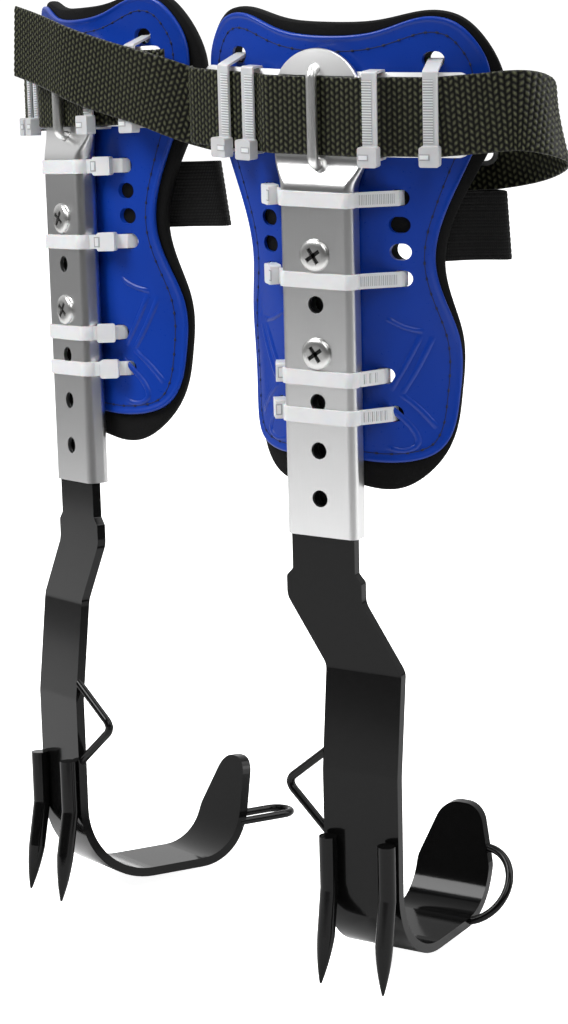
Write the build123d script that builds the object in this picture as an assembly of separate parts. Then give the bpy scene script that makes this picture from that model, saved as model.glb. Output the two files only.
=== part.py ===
"""A pair of tree climbing spikes: two mirrored leg irons with shin pads, calf straps and stirrups.

Every piece is drawn for the right iron in its own frame: X to the viewer's right across the shank,
Y from the shank's front face back towards the leg, Z up from the upper clamp screw. The left iron
is the mirror of it, turned and set beside it. Millimetres.
"""
from build123d import *
import math
import os

# Where the left iron stands beside the right one
LEFT_X = -194.0
LEFT_Y = 60.0
LEFT_YAW = -27.7
LEFT_TILT = -2.95
LEFT_LEAN = -5.75

# Clearances
SLIP = 0.1
SOFT_GAP = 0.2
RUN_GAP = 0.05

# Shank tube: flat aluminium tube with a flattened, domed upper end
TUBE_WIDTH = 41.0
TUBE_DEPTH = 12.5
TUBE_WALL = 2.0
TUBE_CORNER = 4.0
TUBE_INNER_CORNER = 0.25
TUBE_BELOW = 145.0
HOLE_PITCH = 25.0
HOLE_COUNT = 6
HOLE_DIA = 8.8
FLARE_START = 32.0
FLARE_LENGTH = 16.0
FLARE_STEPS = 4
END_WIDTH = 51.0
END_THICKNESS = 4.0
END_FRONT = 5.5
END_TOP = 102.0
END_EDGE = 1.5
SLIT_WIDTH = 40.0
SLIT_THICKNESS = 0.8
SLIT_EDGE = 0.32

# Cross plate behind the strap
PLATE_HALF_SPAN = 75.0
PLATE_BOTTOM = 49.0
PLATE_HEIGHT = 41.5
PLATE_THICKNESS = 2.0
PLATE_RADIUS = 225.0
PLATE_CORNER = 4.0

# Calf strap and the wire staple that holds it
STRAP_WIDTH = 39.0
STRAP_THICKNESS = 2.2
STRAP_Z = 69.0
STRAP_END = 84.0
LEFT_STRAP_CUT = 80.0
STRAP_STEP_LENGTH = 15.0
RUN_STEPS = 42
RIGHT_STRAP_STEPS = 156
LEFT_STRAP_STEPS = 46
STAPLE_WIRE = 5.5
STAPLE_UPPER = 92.0
STAPLE_LOWER = 44.6
STAPLE_BEND = 4.5
TAIL_ROOM = 1.4
EYELET_OUTER = 14.0
EYELET_INNER = 9.0
EYELET_LIP = 0.8
EYELET_X = 60.0
EYELET_BEHIND = 60.0

# Shin shell
SHELL_THICKNESS = 2.2
SHELL_TOP = 115.3
SHELL_TOP_DIP = 8.5
SHELL_LOBE_X = 56.0
SHELL_CORNER_HALF = 73.0
SHELL_CORNER_Z = 103.0
SHELL_SHOULDER_HALF = 81.0
SHELL_SHOULDER_Z = 84.0
SHELL_FLANK_HALF = 65.5
SHELL_FLANK_Z = 35.0
SHELL_WAIST_HALF = 53.0
SHELL_WAIST_Z = -7.0
SHELL_LOWER_HALF = 61.2
SHELL_LOWER_Z = -76.0
SHELL_HEEL_HALF = 56.0
SHELL_HEEL_Z = -101.0
SHELL_DIAGONAL = 0.7
SHELL_BOTTOM = -110.0
SHELL_BOTTOM_LOBE_X = 36.0
SHELL_BOTTOM_DIP = 3.0
SHELL_RIM = 1.0
SHELL_RIM_WIDTH = 3.5
# Leg form: the shell's front radius at evenly spaced heights, from LEG_TOP down to LEG_LOW
LEG_TOP = 130.0
LEG_LOW = -130.0
LEG_RADII = (168.0, 150.0, 130.0, 104.0, 82.0, 80.0, 94.0)
LEG_WRAP = 0.985
VENT_LONG = 10.5
VENT_SHORT = 8.4
VENT_X = 37.5
VENT_ROWS = (28.0, 14.4, 0.8, -12.8)
LOWER_VENTS = ((28.0, -62.5), (31.7, -82.0))
TOP_VENT_X = 55.4
TOP_VENT_Z = 96.0
BACK_VENT_Z = 64.0

# Foam pad behind the shell
PAD_THICKNESS = 6.5
PAD_MARGIN = 6.0
PAD_ABOVE = 5.0
PAD_BELOW = 11.5

# Elastic band sewn behind the pad
ELASTIC_WIDTH = 35.0
ELASTIC_THICKNESS = 1.6
ELASTIC_Z = 11.5
ELASTIC_REACH = 21.0
ELASTIC_GAP = 1.0
ELASTIC_FOLD = 6.0
ELASTIC_STEPS = 28

# Cable ties
TIE_WIDTH = 7.6
TIE_THICKNESS = 1.2
TIE_BEND = 0.75
TIE_KNEE = 1.4
TIE_HEAD_WIDTH = 10.0
TIE_HEAD_LENGTH = 10.0
TIE_HEAD_DEPTH = 6.0
TIE_HEAD_DROP = 2.0
TIE_SLOPE = 3.0
BEHIND_SHELL = 0.4
TIE_ROOM = 0.3
STRAP_TIE_GAP = 0.5
OUTER_TIE_X = 58.0
STRAP_TIE_X = (-OUTER_TIE_X, -41.0, 30.0, OUTER_TIE_X)

# Foot bar: one flat steel bar, bent into the stirrup
BAR_WIDTH = 44.0
BAR_THICKNESS = 5.0
TONGUE_ABOVE = 14.0
TONGUE_HOLE = 8.2
SHOULDER_Z = -168.0
SHOULDER_SLOPE = 4.0
SHOULDER_ROUND = 2.0
JOG = 22.3
JOG_TOP = -179.0
JOG_BOTTOM = -213.0
JOG_ROUND = 10.0
CREASE_Z = -214.0
CREASE_RADIUS = 15.0
BOW = 6.0
TREAD_BOTTOM = -376.0
BOW_HEIGHT = 108.0
TREAD_RADIUS = 45.0
STIRRUP_LENGTH = 99.0
EAR_RADIUS = 30.0
EAR_LEAN = 20.0
EAR_HEIGHT = 56.6
EAR_TAPER_HEIGHT = 26.0
EAR_TOP_HALF = 11.0
EAR_ROUND = 13.0

# Spikes, with heights above the tread's underside
SPIKE_DIA = 9.5
SPIKE_FLAT = 0.5
SPIKE_TOP_HEIGHT = 73.0
SPIKE_BEND_HEIGHT = 44.0
SPIKE_TAPER_HEIGHT = 19.0
SPIKE_BELOW = 6.0
SPIKE_LEAN = 10.0
SPIKE_POINT = 1.2
SPIKE_OGIVE = 0.7
SPIKE_TIP_OFFSET = 1.3

# Wire loops, with heights above the tread's underside
LOOP_WIRE = 4.5
SIDE_LOOP_UPPER_HEIGHT = 116.0
SIDE_LOOP_LOWER_HEIGHT = 74.0
SIDE_LOOP_REACH = 24.0
SIDE_LOOP_SWEEP = 5.0
SIDE_LOOP_BEND = 6.0
LOOP_ROOT = 1.5
UPRIGHT_LOOP_HEIGHT = 35.0
UPRIGHT_LOOP_APEX_HEIGHT = 23.0
UPRIGHT_LOOP_REACH = 16.0
UPRIGHT_LOOP_INSET = 18.0
LEVEL_LOOP_HEIGHT = 22.0
LEVEL_LOOP_REACH = 36.0
LEVEL_LOOP_WIDTH = 18.0
LEVEL_LOOP_OFFSET = 11.0
LEVEL_LOOP_BEND = 8.5

# Clamp screws and the threaded plates behind the tongue
SCREW_DIA = 7.8
SCREW_HEAD_DIA = 16.5
SCREW_HEAD_HEIGHT = 4.6
SCREW_SLOT = 2.0
SCREW_SLOT_LENGTH = 8.5
SCREW_SLOT_DEPTH = 2.4
SCREW_HOLES = (0, 2)
LOCK_PLATE_WIDTH = 20.0
LOCK_PLATE_HEIGHT = 14.0
LOCK_PLATE_THICKNESS = 3.0

# Derived places
FLARE_END = FLARE_START + FLARE_LENGTH
PLATE_FRONT = END_FRONT + END_THICKNESS
PLATE_TOP = PLATE_BOTTOM + PLATE_HEIGHT
SHELL_FRONT = TUBE_DEPTH + SHELL_RIM
PAD_FRONT = SHELL_FRONT + SHELL_THICKNESS + SOFT_GAP
STRAP_FRONT_Y = END_FRONT - SOFT_GAP - STRAP_THICKNESS / 2
TONGUE_WIDTH = TUBE_WIDTH - 2 * TUBE_WALL - 4 * SLIP
TONGUE_FRONT = TUBE_WALL + SLIP
TONGUE_BACK = TONGUE_FRONT + BAR_THICKNESS
BOW_FRONT = TONGUE_FRONT - BOW
TREAD_TOP = TREAD_BOTTOM + BAR_THICKNESS
EAR_TOP = TREAD_BOTTOM + EAR_HEIGHT
EAR_CORNER_Y = BOW_FRONT + STIRRUP_LENGTH
TREAD_SPLIT_Y = BOW_FRONT + TREAD_RADIUS
TREAD_MID_Y = (TREAD_SPLIT_Y + EAR_CORNER_Y - EAR_RADIUS) / 2
BAR_LEFT = JOG - BAR_WIDTH / 2
BAR_RIGHT = JOG + BAR_WIDTH / 2
ORIGIN = Vector(JOG, TREAD_MID_Y, TREAD_TOP)
LEFT_PLACE = Pos(LEFT_X, LEFT_Y) * Rot(0, 0, LEFT_YAW) * Rot(LEFT_TILT, 0, 0) * Rot(0, LEFT_LEAN, 0)


def front_plane(y):
    """A drawing plane facing the viewer at depth y: drawn (x, z), extruded forward."""
    return Plane(origin=(0, y, 0), x_dir=(1, 0, 0), z_dir=(0, -1, 0))


def through_y(sketch, y_front, y_back):
    """Extrude a sketch drawn in (x, z) from depth y_front back to y_back."""
    return extrude(front_plane(y_front) * sketch, amount=-(y_back - y_front))


def rod_y(dia, x, z, y_front, y_back):
    """A round rod along Y."""
    return through_y(Pos(x, z) * Circle(dia / 2), y_front, y_back)


def arc_rise(x, radius):
    """How far an arc of this radius has fallen back at x."""
    return radius - math.sqrt(radius**2 - x**2)


def arc_band(front_y, radius, half_span, thickness):
    """The plan section of a curved sheet whose front face passes (0, front_y), hollow side back."""
    def arc(r, y0):
        end = half_span * r / radius
        rise = arc_rise(end, r)
        return (-end, y0 + rise), (0, y0), (end, y0 + rise)
    front = arc(radius, front_y)
    back = arc(radius - thickness, front_y + thickness)
    edges = [
        ThreePointArc(*front),
        Line(front[2], back[2]),
        ThreePointArc(*reversed(back)),
        Line(back[0], front[0]),
    ]
    return make_face(edges)


def leg_radius(z):
    """The shell's front radius at a height, between the listed heights."""
    at = (LEG_TOP - z) / (LEG_TOP - LEG_LOW) * (len(LEG_RADII) - 1)
    index = min(int(at), len(LEG_RADII) - 2)
    return LEG_RADII[index] + (LEG_RADII[index + 1] - LEG_RADII[index]) * (at - index)


def leg_layer(depth, thickness):
    """A curved layer of the leg form, its front face at a depth behind the shell's front face."""
    reach = SHELL_SHOULDER_HALF + 2 * PAD_MARGIN
    step = (LEG_TOP - LEG_LOW) / (len(LEG_RADII) - 1)
    sections = []
    for index, radius in enumerate(LEG_RADII):
        half = min(reach, LEG_WRAP * radius)
        front = radius - depth
        band = arc_band(SHELL_FRONT + depth, front, half * front / radius, thickness)
        sections.append(Plane.XY.offset(LEG_TOP - index * step) * band)
    return loft(sections)


def leg_outline(margin, above, below):
    """The hourglass outline of the shell in (x, z), grown by margins at its sides, top and bottom."""
    top = SHELL_TOP + above
    low = SHELL_BOTTOM - below
    right = [
        (SHELL_LOBE_X, top),
        (SHELL_CORNER_HALF + margin * SHELL_DIAGONAL, SHELL_CORNER_Z + above * SHELL_DIAGONAL),
        (SHELL_SHOULDER_HALF + margin, SHELL_SHOULDER_Z),
        (SHELL_FLANK_HALF + margin, SHELL_FLANK_Z),
        (SHELL_WAIST_HALF + margin, SHELL_WAIST_Z),
        (SHELL_LOWER_HALF + margin, SHELL_LOWER_Z),
        (SHELL_HEEL_HALF + margin * SHELL_DIAGONAL, SHELL_HEEL_Z - below * SHELL_DIAGONAL),
        (SHELL_BOTTOM_LOBE_X, low),
    ]
    left = [(-x, z) for x, z in reversed(right)]
    dips = (0, top - SHELL_TOP_DIP), (0, low + SHELL_BOTTOM_DIP)
    return make_face(Spline(dips[0], *right, dips[1], *left, periodic=True))


def bent_wire(path, dia):
    """A round wire along a path."""
    start = Plane(origin=path @ 0, z_dir=path % 0)
    return sweep(start * Circle(dia / 2), path)


def tie_band(loop, room):
    """A tie's flat band round a loop face drawn in XY, centred on z = 0, with room added all round."""
    half = TIE_THICKNESS / 2 + room
    ring = offset(loop, half) - offset(loop, -half)
    return extrude(ring, amount=TIE_WIDTH / 2 + room, both=True)


def tie_head():
    """The ratchet head of a cable tie, with its front edges eased."""
    head = Box(TIE_HEAD_LENGTH, TIE_HEAD_DEPTH, TIE_HEAD_WIDTH)
    return fillet(head.edges().filter_by(Axis.Y), 1.2)


# Shank tube and what it carries


def flare(lower, upper):
    """The eased change from a tube section to a flattened one, each given as width, depth and corner."""
    lower_mid = TUBE_DEPTH / 2
    upper_mid = END_FRONT + END_THICKNESS / 2
    sections = []
    for step in range(FLARE_STEPS + 1):
        part = step / FLARE_STEPS
        ease = (1 - math.cos(math.pi * part)) / 2
        size = [a + (b - a) * ease for a, b in zip(lower, upper)]
        mid = lower_mid + (upper_mid - lower_mid) * ease
        level = Plane.XY.offset(FLARE_START + part * FLARE_LENGTH)
        sections.append(level * Pos(0, mid) * RectangleRounded(*size))
    return loft(sections)


def domed_end():
    """The flattened end: a flat blade with a round top and rounded edges."""
    centre = END_TOP - END_WIDTH / 2
    blade = Pos(0, (FLARE_END + centre) / 2) * Rectangle(END_WIDTH, centre - FLARE_END)
    blade += Pos(0, centre) * Circle(END_WIDTH / 2)
    blade = through_y(blade, END_FRONT, END_FRONT + END_THICKNESS)
    faces = blade.faces().sort_by(Axis.Y)
    edges = faces[0].edges() + faces[-1].edges()
    return fillet([edge for edge in edges if edge.center().Z > FLARE_END + 1], END_EDGE)


def shank_tube():
    """The flat tube, its flare, the flattened domed end, the row of holes and the staple holes."""
    outer = (TUBE_WIDTH, TUBE_DEPTH, TUBE_CORNER)
    inner = (TUBE_WIDTH - 2 * TUBE_WALL, TUBE_DEPTH - 2 * TUBE_WALL, TUBE_INNER_CORNER)
    low = Plane.XY.offset(-TUBE_BELOW) * Pos(0, TUBE_DEPTH / 2)
    straight = TUBE_BELOW + FLARE_START
    tube = extrude(low * RectangleRounded(*outer), amount=straight)
    tube += flare(outer, (END_WIDTH, END_THICKNESS, END_EDGE))
    tube += domed_end()
    tube -= extrude(low * RectangleRounded(*inner), amount=straight)
    tube -= flare(inner, (SLIT_WIDTH, SLIT_THICKNESS, SLIT_EDGE))
    for step in range(HOLE_COUNT):
        tube -= rod_y(HOLE_DIA, 0, -step * HOLE_PITCH, -TUBE_WALL, 1.5 * TUBE_WALL)
    for z in (STAPLE_UPPER, STAPLE_LOWER):
        tube -= rod_y(STAPLE_WIRE + 2 * SLIP, 0, z, 0, PLATE_FRONT + TUBE_WALL)
    return tube


def cross_plate():
    """The gently curved plate that the strap is tied to."""
    band = arc_band(PLATE_FRONT, PLATE_RADIUS, PLATE_HALF_SPAN, PLATE_THICKNESS)
    plate = extrude(Plane.XY.offset(PLATE_BOTTOM) * band, amount=PLATE_HEIGHT)
    face = Pos(0, PLATE_BOTTOM + PLATE_HEIGHT / 2) * RectangleRounded(
        2 * PLATE_HALF_SPAN - 1, PLATE_HEIGHT, PLATE_CORNER)
    plate &= through_y(face, PLATE_FRONT - 1, PLATE_FRONT + 40)
    return plate - rod_y(STAPLE_WIRE + 2 * SLIP, 0, STAPLE_UPPER, 0, 2 * PLATE_FRONT)


def strap_staple():
    """The wire keeper over the strap, its two legs bent back through the flattened end."""
    front = STRAP_FRONT_Y - STRAP_THICKNESS / 2 - SOFT_GAP - STAPLE_WIRE / 2
    back = PLATE_FRONT + PLATE_THICKNESS
    path = FilletPolyline(
        (0, back, STAPLE_UPPER), (0, front, STAPLE_UPPER),
        (0, front, STAPLE_LOWER), (0, back, STAPLE_LOWER), radius=STAPLE_BEND)
    return bent_wire(path, STAPLE_WIRE)


def plate_front_y(x):
    """Depth of the cross plate's front face at x."""
    return PLATE_FRONT + arc_rise(x, PLATE_RADIUS)


def on_plate(x):
    """Depth of the strap's middle where it lies on the cross plate at x."""
    return plate_front_y(x) - SOFT_GAP - STRAP_THICKNESS / 2


def strap_y(x):
    """Depth of the strap's middle at x: over the flattened end, then down onto the plate."""
    edge = END_WIDTH / 2 + TUBE_INNER_CORNER
    part = min(max((abs(x) - edge) / STRAP_STEP_LENGTH, 0), 1)
    blend = (1 - math.cos(math.pi * part)) / 2
    return STRAP_FRONT_Y * (1 - blend) + on_plate(x) * blend


def front_run(start):
    """Points of the strap's front run, over the flattened end and along the plate."""
    step = (STRAP_END - start) / RUN_STEPS
    xs = [start + index * step for index in range(RUN_STEPS + 1)]
    return [(x, strap_y(x), STRAP_Z) for x in xs]


def band_section(low, high, along, thickness):
    """The cross section of a flat band between its two edges."""
    up = (high - low).normalized()
    ahead = along - up * along.dot(up)
    section = Plane(origin=(low + high) / 2, x_dir=up, z_dir=ahead)
    return section * Rectangle((high - low).length, thickness)


def webbing(line, width, thickness, count):
    """A flat band of webbing along a line, standing on edge."""
    faces = []
    for index in range(count + 1):
        at = index / count
        along = line % at
        half = (Vector(0, 0, 1) - along * along.Z).normalized() * (width / 2)
        faces.append(band_section(line @ at - half, line @ at + half, along, thickness))
    return loft(faces, ruled=True)


def shin_shell():
    """The moulded shell: hourglass outline, raised rim, vents and tie holes."""
    reach = (SHELL_FRONT - 10, SHELL_FRONT + 90)
    shell = leg_layer(-SHELL_RIM, SHELL_RIM + SHELL_THICKNESS) & through_y(leg_outline(0, 0, 0), *reach)
    inside = -SHELL_RIM_WIDTH
    face = through_y(leg_outline(inside, inside, inside), *reach)
    shell -= leg_layer(-2 * SHELL_RIM, 2 * SHELL_RIM) & face
    for vent in vents():
        shell -= through_y(vent, *reach)
    return shell


def vents():
    """The holes of the shell, drawn in (x, z)."""
    places = [(VENT_X, z) for z in VENT_ROWS] + list(LOWER_VENTS)
    places += [(TOP_VENT_X, TOP_VENT_Z), (TOP_VENT_X, BACK_VENT_Z)]
    return [Pos(side * x, z) * SlotOverall(VENT_LONG, VENT_SHORT) for x, z in places for side in (-1, 1)]


def shin_pad(channels):
    """The foam pad glued to the shell, wider than it all round, with its vents and room for the ties."""
    reach = (PAD_FRONT - 10, PAD_FRONT + 110)
    pad = leg_layer(PAD_FRONT - SHELL_FRONT, PAD_THICKNESS)
    pad &= through_y(leg_outline(PAD_MARGIN, PAD_ABOVE, PAD_BELOW), *reach)
    for vent in vents():
        pad -= through_y(vent, *reach)
    for channel in channels:
        pad -= channel
    return pad


def elastic_edge(z):
    """One edge of the elastic band at a height: along the pad, out past it, folded and back."""
    radius = leg_radius(z) - (PAD_FRONT - SHELL_FRONT) - PAD_THICKNESS
    rest = PAD_FRONT + PAD_THICKNESS + ELASTIC_GAP + ELASTIC_THICKNESS / 2
    edge = SHELL_WAIST_HALF + PAD_MARGIN
    seat = [(x, rest + arc_rise(x, radius)) for x in (edge - 26, edge - 13, edge)]
    tip_x, tip_y = edge + ELASTIC_REACH, seat[-1][1] + 0.55 * ELASTIC_REACH
    fold = [(tip_x - 6, tip_y - 3.5), (tip_x, tip_y), (tip_x - 4, tip_y + 4.5), (tip_x - 12, tip_y + 3)]
    back = [(x + 2, y + ELASTIC_FOLD) for x, y in reversed(seat[:2])]
    return Spline(*[(x, y, z) for x, y in seat + fold + back])


def elastic_band():
    """The elastic loop sewn behind the pad, folded back on itself beyond the pad's edge."""
    lower = elastic_edge(ELASTIC_Z - ELASTIC_WIDTH / 2)
    upper = elastic_edge(ELASTIC_Z + ELASTIC_WIDTH / 2)
    faces = []
    for index in range(ELASTIC_STEPS + 1):
        at = index / ELASTIC_STEPS
        along = lower % at + upper % at
        faces.append(band_section(lower @ at, upper @ at, along, ELASTIC_THICKNESS))
    return loft(faces, ruled=True)


# Cable ties


def across_tie(x, depth):
    """Depths across a tie's width at x, seen square to the plate, from a depth given by x."""
    tilt = math.asin(x / PLATE_RADIUS)
    steps = (-TIE_WIDTH / 2, 0, TIE_WIDTH / 2)
    return [(depth(x + d) - plate_front_y(x)) * math.cos(tilt) - d * math.sin(tilt) for d in steps]


def shell_back_y(x, z):
    """Depth of the shell's back face."""
    return SHELL_FRONT + SHELL_THICKNESS + arc_rise(x, leg_radius(z) - SHELL_THICKNESS)


def strap_tie(x, room=0.0):
    """A tie round strap and plate at x, its head low in front; the outer ones also hold the shell."""
    front = min(across_tie(x, strap_y)) - STRAP_THICKNESS / 2 - STRAP_TIE_GAP - TIE_THICKNESS / 2
    back = PLATE_THICKNESS + SLIP + TIE_THICKNESS / 2
    low = PLATE_BOTTOM - SLIP - TIE_THICKNESS / 2
    high = PLATE_TOP + SLIP + TIE_THICKNESS / 2
    if abs(x) == OUTER_TIE_X:
        shell = [max(across_tie(x, lambda at: shell_back_y(at, z))) for z in (TOP_VENT_Z, BACK_VENT_Z)]
        behind = max(shell) + BEHIND_SHELL + TIE_THICKNESS / 2
        points = [(front, low), (front, high), (behind - TIE_SLOPE, TOP_VENT_Z), (behind, TOP_VENT_Z),
                  (behind, BACK_VENT_Z), (back, BACK_VENT_Z), (back, low)]
    else:
        points = [(front, low), (front, high), (back, high), (back, low)]
    tie = tie_band(make_face(FilletPolyline(*points, radius=TIE_BEND, close=True)), room)
    head_y = front + TIE_THICKNESS / 2 - TIE_HEAD_DEPTH / 2
    tie += Pos(head_y, low + TIE_HEAD_DROP) * Rot(0, 0, 90) * tie_head()
    upright = Plane(origin=(0, 0, 0), x_dir=(0, 1, 0), z_dir=(1, 0, 0)) * tie
    tilt = math.degrees(math.asin(x / PLATE_RADIUS))
    return Pos(x, plate_front_y(x)) * Rot(0, 0, tilt) * upright


def shank_tie(vent_x, z, room=0.0):
    """A tie round the tube at height z, through the shell's vents on both sides, head on the left."""
    front = -SLIP - TIE_THICKNESS / 2
    side = TUBE_WIDTH / 2 + SLIP + TIE_THICKNESS / 2
    knee = TUBE_CORNER + TIE_THICKNESS
    vent_y = SHELL_FRONT + arc_rise(vent_x, leg_radius(z)) - SHELL_RIM
    back = SHELL_FRONT + SHELL_THICKNESS + BEHIND_SHELL + TIE_THICKNESS / 2
    end_x = vent_x + TIE_THICKNESS
    end_y = back + arc_rise(end_x, leg_radius(z) - SHELL_THICKNESS)
    right = [(side, front), (side, knee), (vent_x, vent_y), (end_x, end_y)]
    left = [(-x, y) for x, y in reversed(right)]
    corner = TUBE_CORNER - front
    bends = [TIE_BEND, TIE_KNEE, corner, corner, TIE_KNEE, TIE_BEND]
    path = FilletPolyline(*left, *right, radius=bends)
    loop = make_face([path, ThreePointArc(right[-1], (0, back), left[0])])
    tie = tie_band(loop, room)
    slope = math.degrees(math.atan2(vent_y - knee, side - vent_x))
    out = TIE_HEAD_DEPTH / 2 - TIE_THICKNESS / 2
    place = Pos(-(side + vent_x) / 2, (knee + vent_y) / 2) * Rot(0, 0, slope) * Pos(0, out)
    tie += place * tie_head()
    return Pos(0, 0, z) * tie


# Foot bar, spikes, loops and clamp screws


def bar_profile():
    """The bar's side profile in (y, z): tongue, crease, bow, stirrup bend, tread and leaning ear."""
    path = FilletPolyline(
        (TONGUE_FRONT, TONGUE_ABOVE), (TONGUE_FRONT, CREASE_Z), (BOW_FRONT, TREAD_BOTTOM + BOW_HEIGHT),
        (BOW_FRONT, TREAD_BOTTOM), (EAR_CORNER_Y, TREAD_BOTTOM), (ear_outer_y(EAR_TOP), EAR_TOP),
        radius=[CREASE_RADIUS, CREASE_RADIUS, TREAD_RADIUS, EAR_RADIUS])
    return path


def foot_bar():
    """The flat bar: drilled tongue, shoulders, sideways jog, stirrup and rounded ear."""
    path = bar_profile()
    strip = path.offset_2d(BAR_THICKNESS, side=Side.LEFT, closed=True)
    wide = extrude(Plane.YZ.offset(-BAR_WIDTH) * make_face(strip), amount=3 * BAR_WIDTH)
    tongue = TONGUE_WIDTH / 2
    half = BAR_WIDTH / 2
    low = TREAD_BOTTOM - BAR_WIDTH
    right = [(tongue, TONGUE_ABOVE), (tongue, SHOULDER_Z + SHOULDER_SLOPE), (half, SHOULDER_Z),
             (half, JOG_TOP), (BAR_RIGHT, JOG_BOTTOM), (BAR_RIGHT, low)]
    left = [(BAR_LEFT, low), (BAR_LEFT, JOG_BOTTOM), (-half, JOG_TOP), (-half, SHOULDER_Z),
            (-tongue, SHOULDER_Z + SHOULDER_SLOPE), (-tongue, TONGUE_ABOVE)]
    outline = make_face(Polyline(*right, *left, close=True))
    jogs = [v for v in outline.vertices() if abs(v.Y - JOG_TOP) < 1 or abs(v.Y - JOG_BOTTOM) < 1]
    outline = fillet(jogs, JOG_ROUND)
    shoulders = [v for v in outline.vertices() if SHOULDER_Z - 1 < v.Y < SHOULDER_Z + SHOULDER_SLOPE + 1]
    outline = fillet(shoulders, SHOULDER_ROUND)
    bar = wide & through_y(outline, BOW_FRONT - BAR_WIDTH, TREAD_SPLIT_Y)
    taper = TREAD_BOTTOM + EAR_TAPER_HEIGHT
    ear = [(BAR_LEFT, low), (BAR_RIGHT, low), (BAR_RIGHT, taper), (JOG + EAR_TOP_HALF, EAR_TOP),
           (JOG - EAR_TOP_HALF, EAR_TOP), (BAR_LEFT, taper)]
    blade = make_face(Polyline(*ear, close=True))
    blade = fillet([v for v in blade.vertices() if v.Y > low + 1], EAR_ROUND)
    bar += wide & through_y(blade, TREAD_SPLIT_Y, EAR_CORNER_Y + BAR_WIDTH)
    for step in range(HOLE_COUNT):
        bar -= rod_y(TONGUE_HOLE, 0, -step * HOLE_PITCH, 0, TONGUE_BACK + 1)
    return bar


def spike(x, outward):
    """One bent, pointed spike, flattened a little where it is welded to the bar's front face."""
    radius = SPIKE_DIA / 2
    y = BOW_FRONT + SPIKE_FLAT - radius
    top = TREAD_BOTTOM + SPIKE_TOP_HEIGHT
    bend = TREAD_BOTTOM + SPIKE_BEND_HEIGHT
    taper = TREAD_BOTTOM + SPIKE_TAPER_HEIGHT
    tip = TREAD_BOTTOM - SPIKE_BELOW
    slope = math.tan(math.radians(SPIKE_LEAN))
    taper_y = y - (bend - taper) * slope
    tip_y = taper_y - (taper - tip) * slope
    path = FilletPolyline((x, y, top), (x, y, bend), (x, taper_y, taper), radius=SPIKE_DIA)
    rod = bent_wire(path, SPIKE_DIA)
    start = Vector(x, taper_y, taper)
    end = Vector(x + outward * SPIKE_TIP_OFFSET, tip_y, tip)
    widths = ((0, radius), (0.5, SPIKE_OGIVE * radius), (1, SPIKE_POINT / 2))
    planes = [Plane(origin=start + (end - start) * part, z_dir=path % 1) for part, _ in widths]
    rod += loft([plane * Circle(width) for plane, (_, width) in zip(planes, widths)])
    keep = Box(2 * BAR_WIDTH, 2 * BAR_WIDTH, 4 * BAR_WIDTH)
    return rod & Pos(x, BOW_FRONT - BAR_WIDTH, (tip + top) / 2) * keep


def side_loop():
    """The triangular wire loop welded to the bar's edge away from the jog, swept back a little."""
    y = BOW_FRONT + BAR_THICKNESS / 2
    upper = TREAD_BOTTOM + SIDE_LOOP_UPPER_HEIGHT
    lower = TREAD_BOTTOM + SIDE_LOOP_LOWER_HEIGHT
    mid = (upper + lower) / 2
    apex = (BAR_LEFT - SIDE_LOOP_REACH, y + SIDE_LOOP_SWEEP)
    path = FilletPolyline(
        (BAR_LEFT + 2, y, upper + 2), (*apex, mid + 2), (*apex, mid - 2), (BAR_LEFT + 2, y, lower - 2),
        radius=SIDE_LOOP_BEND)
    keep = Box(BAR_WIDTH, BAR_WIDTH, 3 * BAR_WIDTH)
    return bent_wire(path, LOOP_WIRE) & Pos(BAR_LEFT - BAR_WIDTH / 2, y, mid) * keep


def ear_outer_y(z):
    """Depth of the ear's outer face at a height."""
    return EAR_CORNER_Y + (z - TREAD_BOTTOM) * math.tan(math.radians(EAR_LEAN))


def upright_ear_loop(bar):
    """The right iron's ear loop: a round wire bow on the bar's edge, from the ear down to the tread."""
    upper_z = TREAD_BOTTOM + UPRIGHT_LOOP_HEIGHT
    taper = (UPRIGHT_LOOP_HEIGHT - EAR_TAPER_HEIGHT) / (EAR_HEIGHT - EAR_TAPER_HEIGHT)
    edge = BAR_RIGHT - taper * (BAR_WIDTH / 2 - EAR_TOP_HALF)
    upper = (edge - LOOP_ROOT, ear_outer_y(upper_z) - BAR_THICKNESS / 2, upper_z)
    lower = (BAR_RIGHT - LOOP_ROOT, EAR_CORNER_Y - UPRIGHT_LOOP_INSET, TREAD_BOTTOM + BAR_THICKNESS / 2)
    apex_z = TREAD_BOTTOM + UPRIGHT_LOOP_APEX_HEIGHT
    apex = (BAR_RIGHT + UPRIGHT_LOOP_REACH, (upper[1] + lower[1]) / 2, apex_z)
    return bent_wire(ThreePointArc(upper, apex, lower), LOOP_WIRE) - bar


def level_ear_loop(bar):
    """The left iron's ear loop: a wire bow lying level behind the ear."""
    z = TREAD_BOTTOM + LEVEL_LOOP_HEIGHT
    start = ear_outer_y(z) - BAR_THICKNESS / 2
    out = ear_outer_y(z) + LEVEL_LOOP_REACH
    middle = JOG - LEVEL_LOOP_OFFSET
    half = LEVEL_LOOP_WIDTH / 2
    path = FilletPolyline(
        (middle - half, start, z), (middle - half, out, z),
        (middle + half, out, z), (middle + half, start, z), radius=LEVEL_LOOP_BEND)
    return bent_wire(path, LOOP_WIRE) - bar


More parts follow.
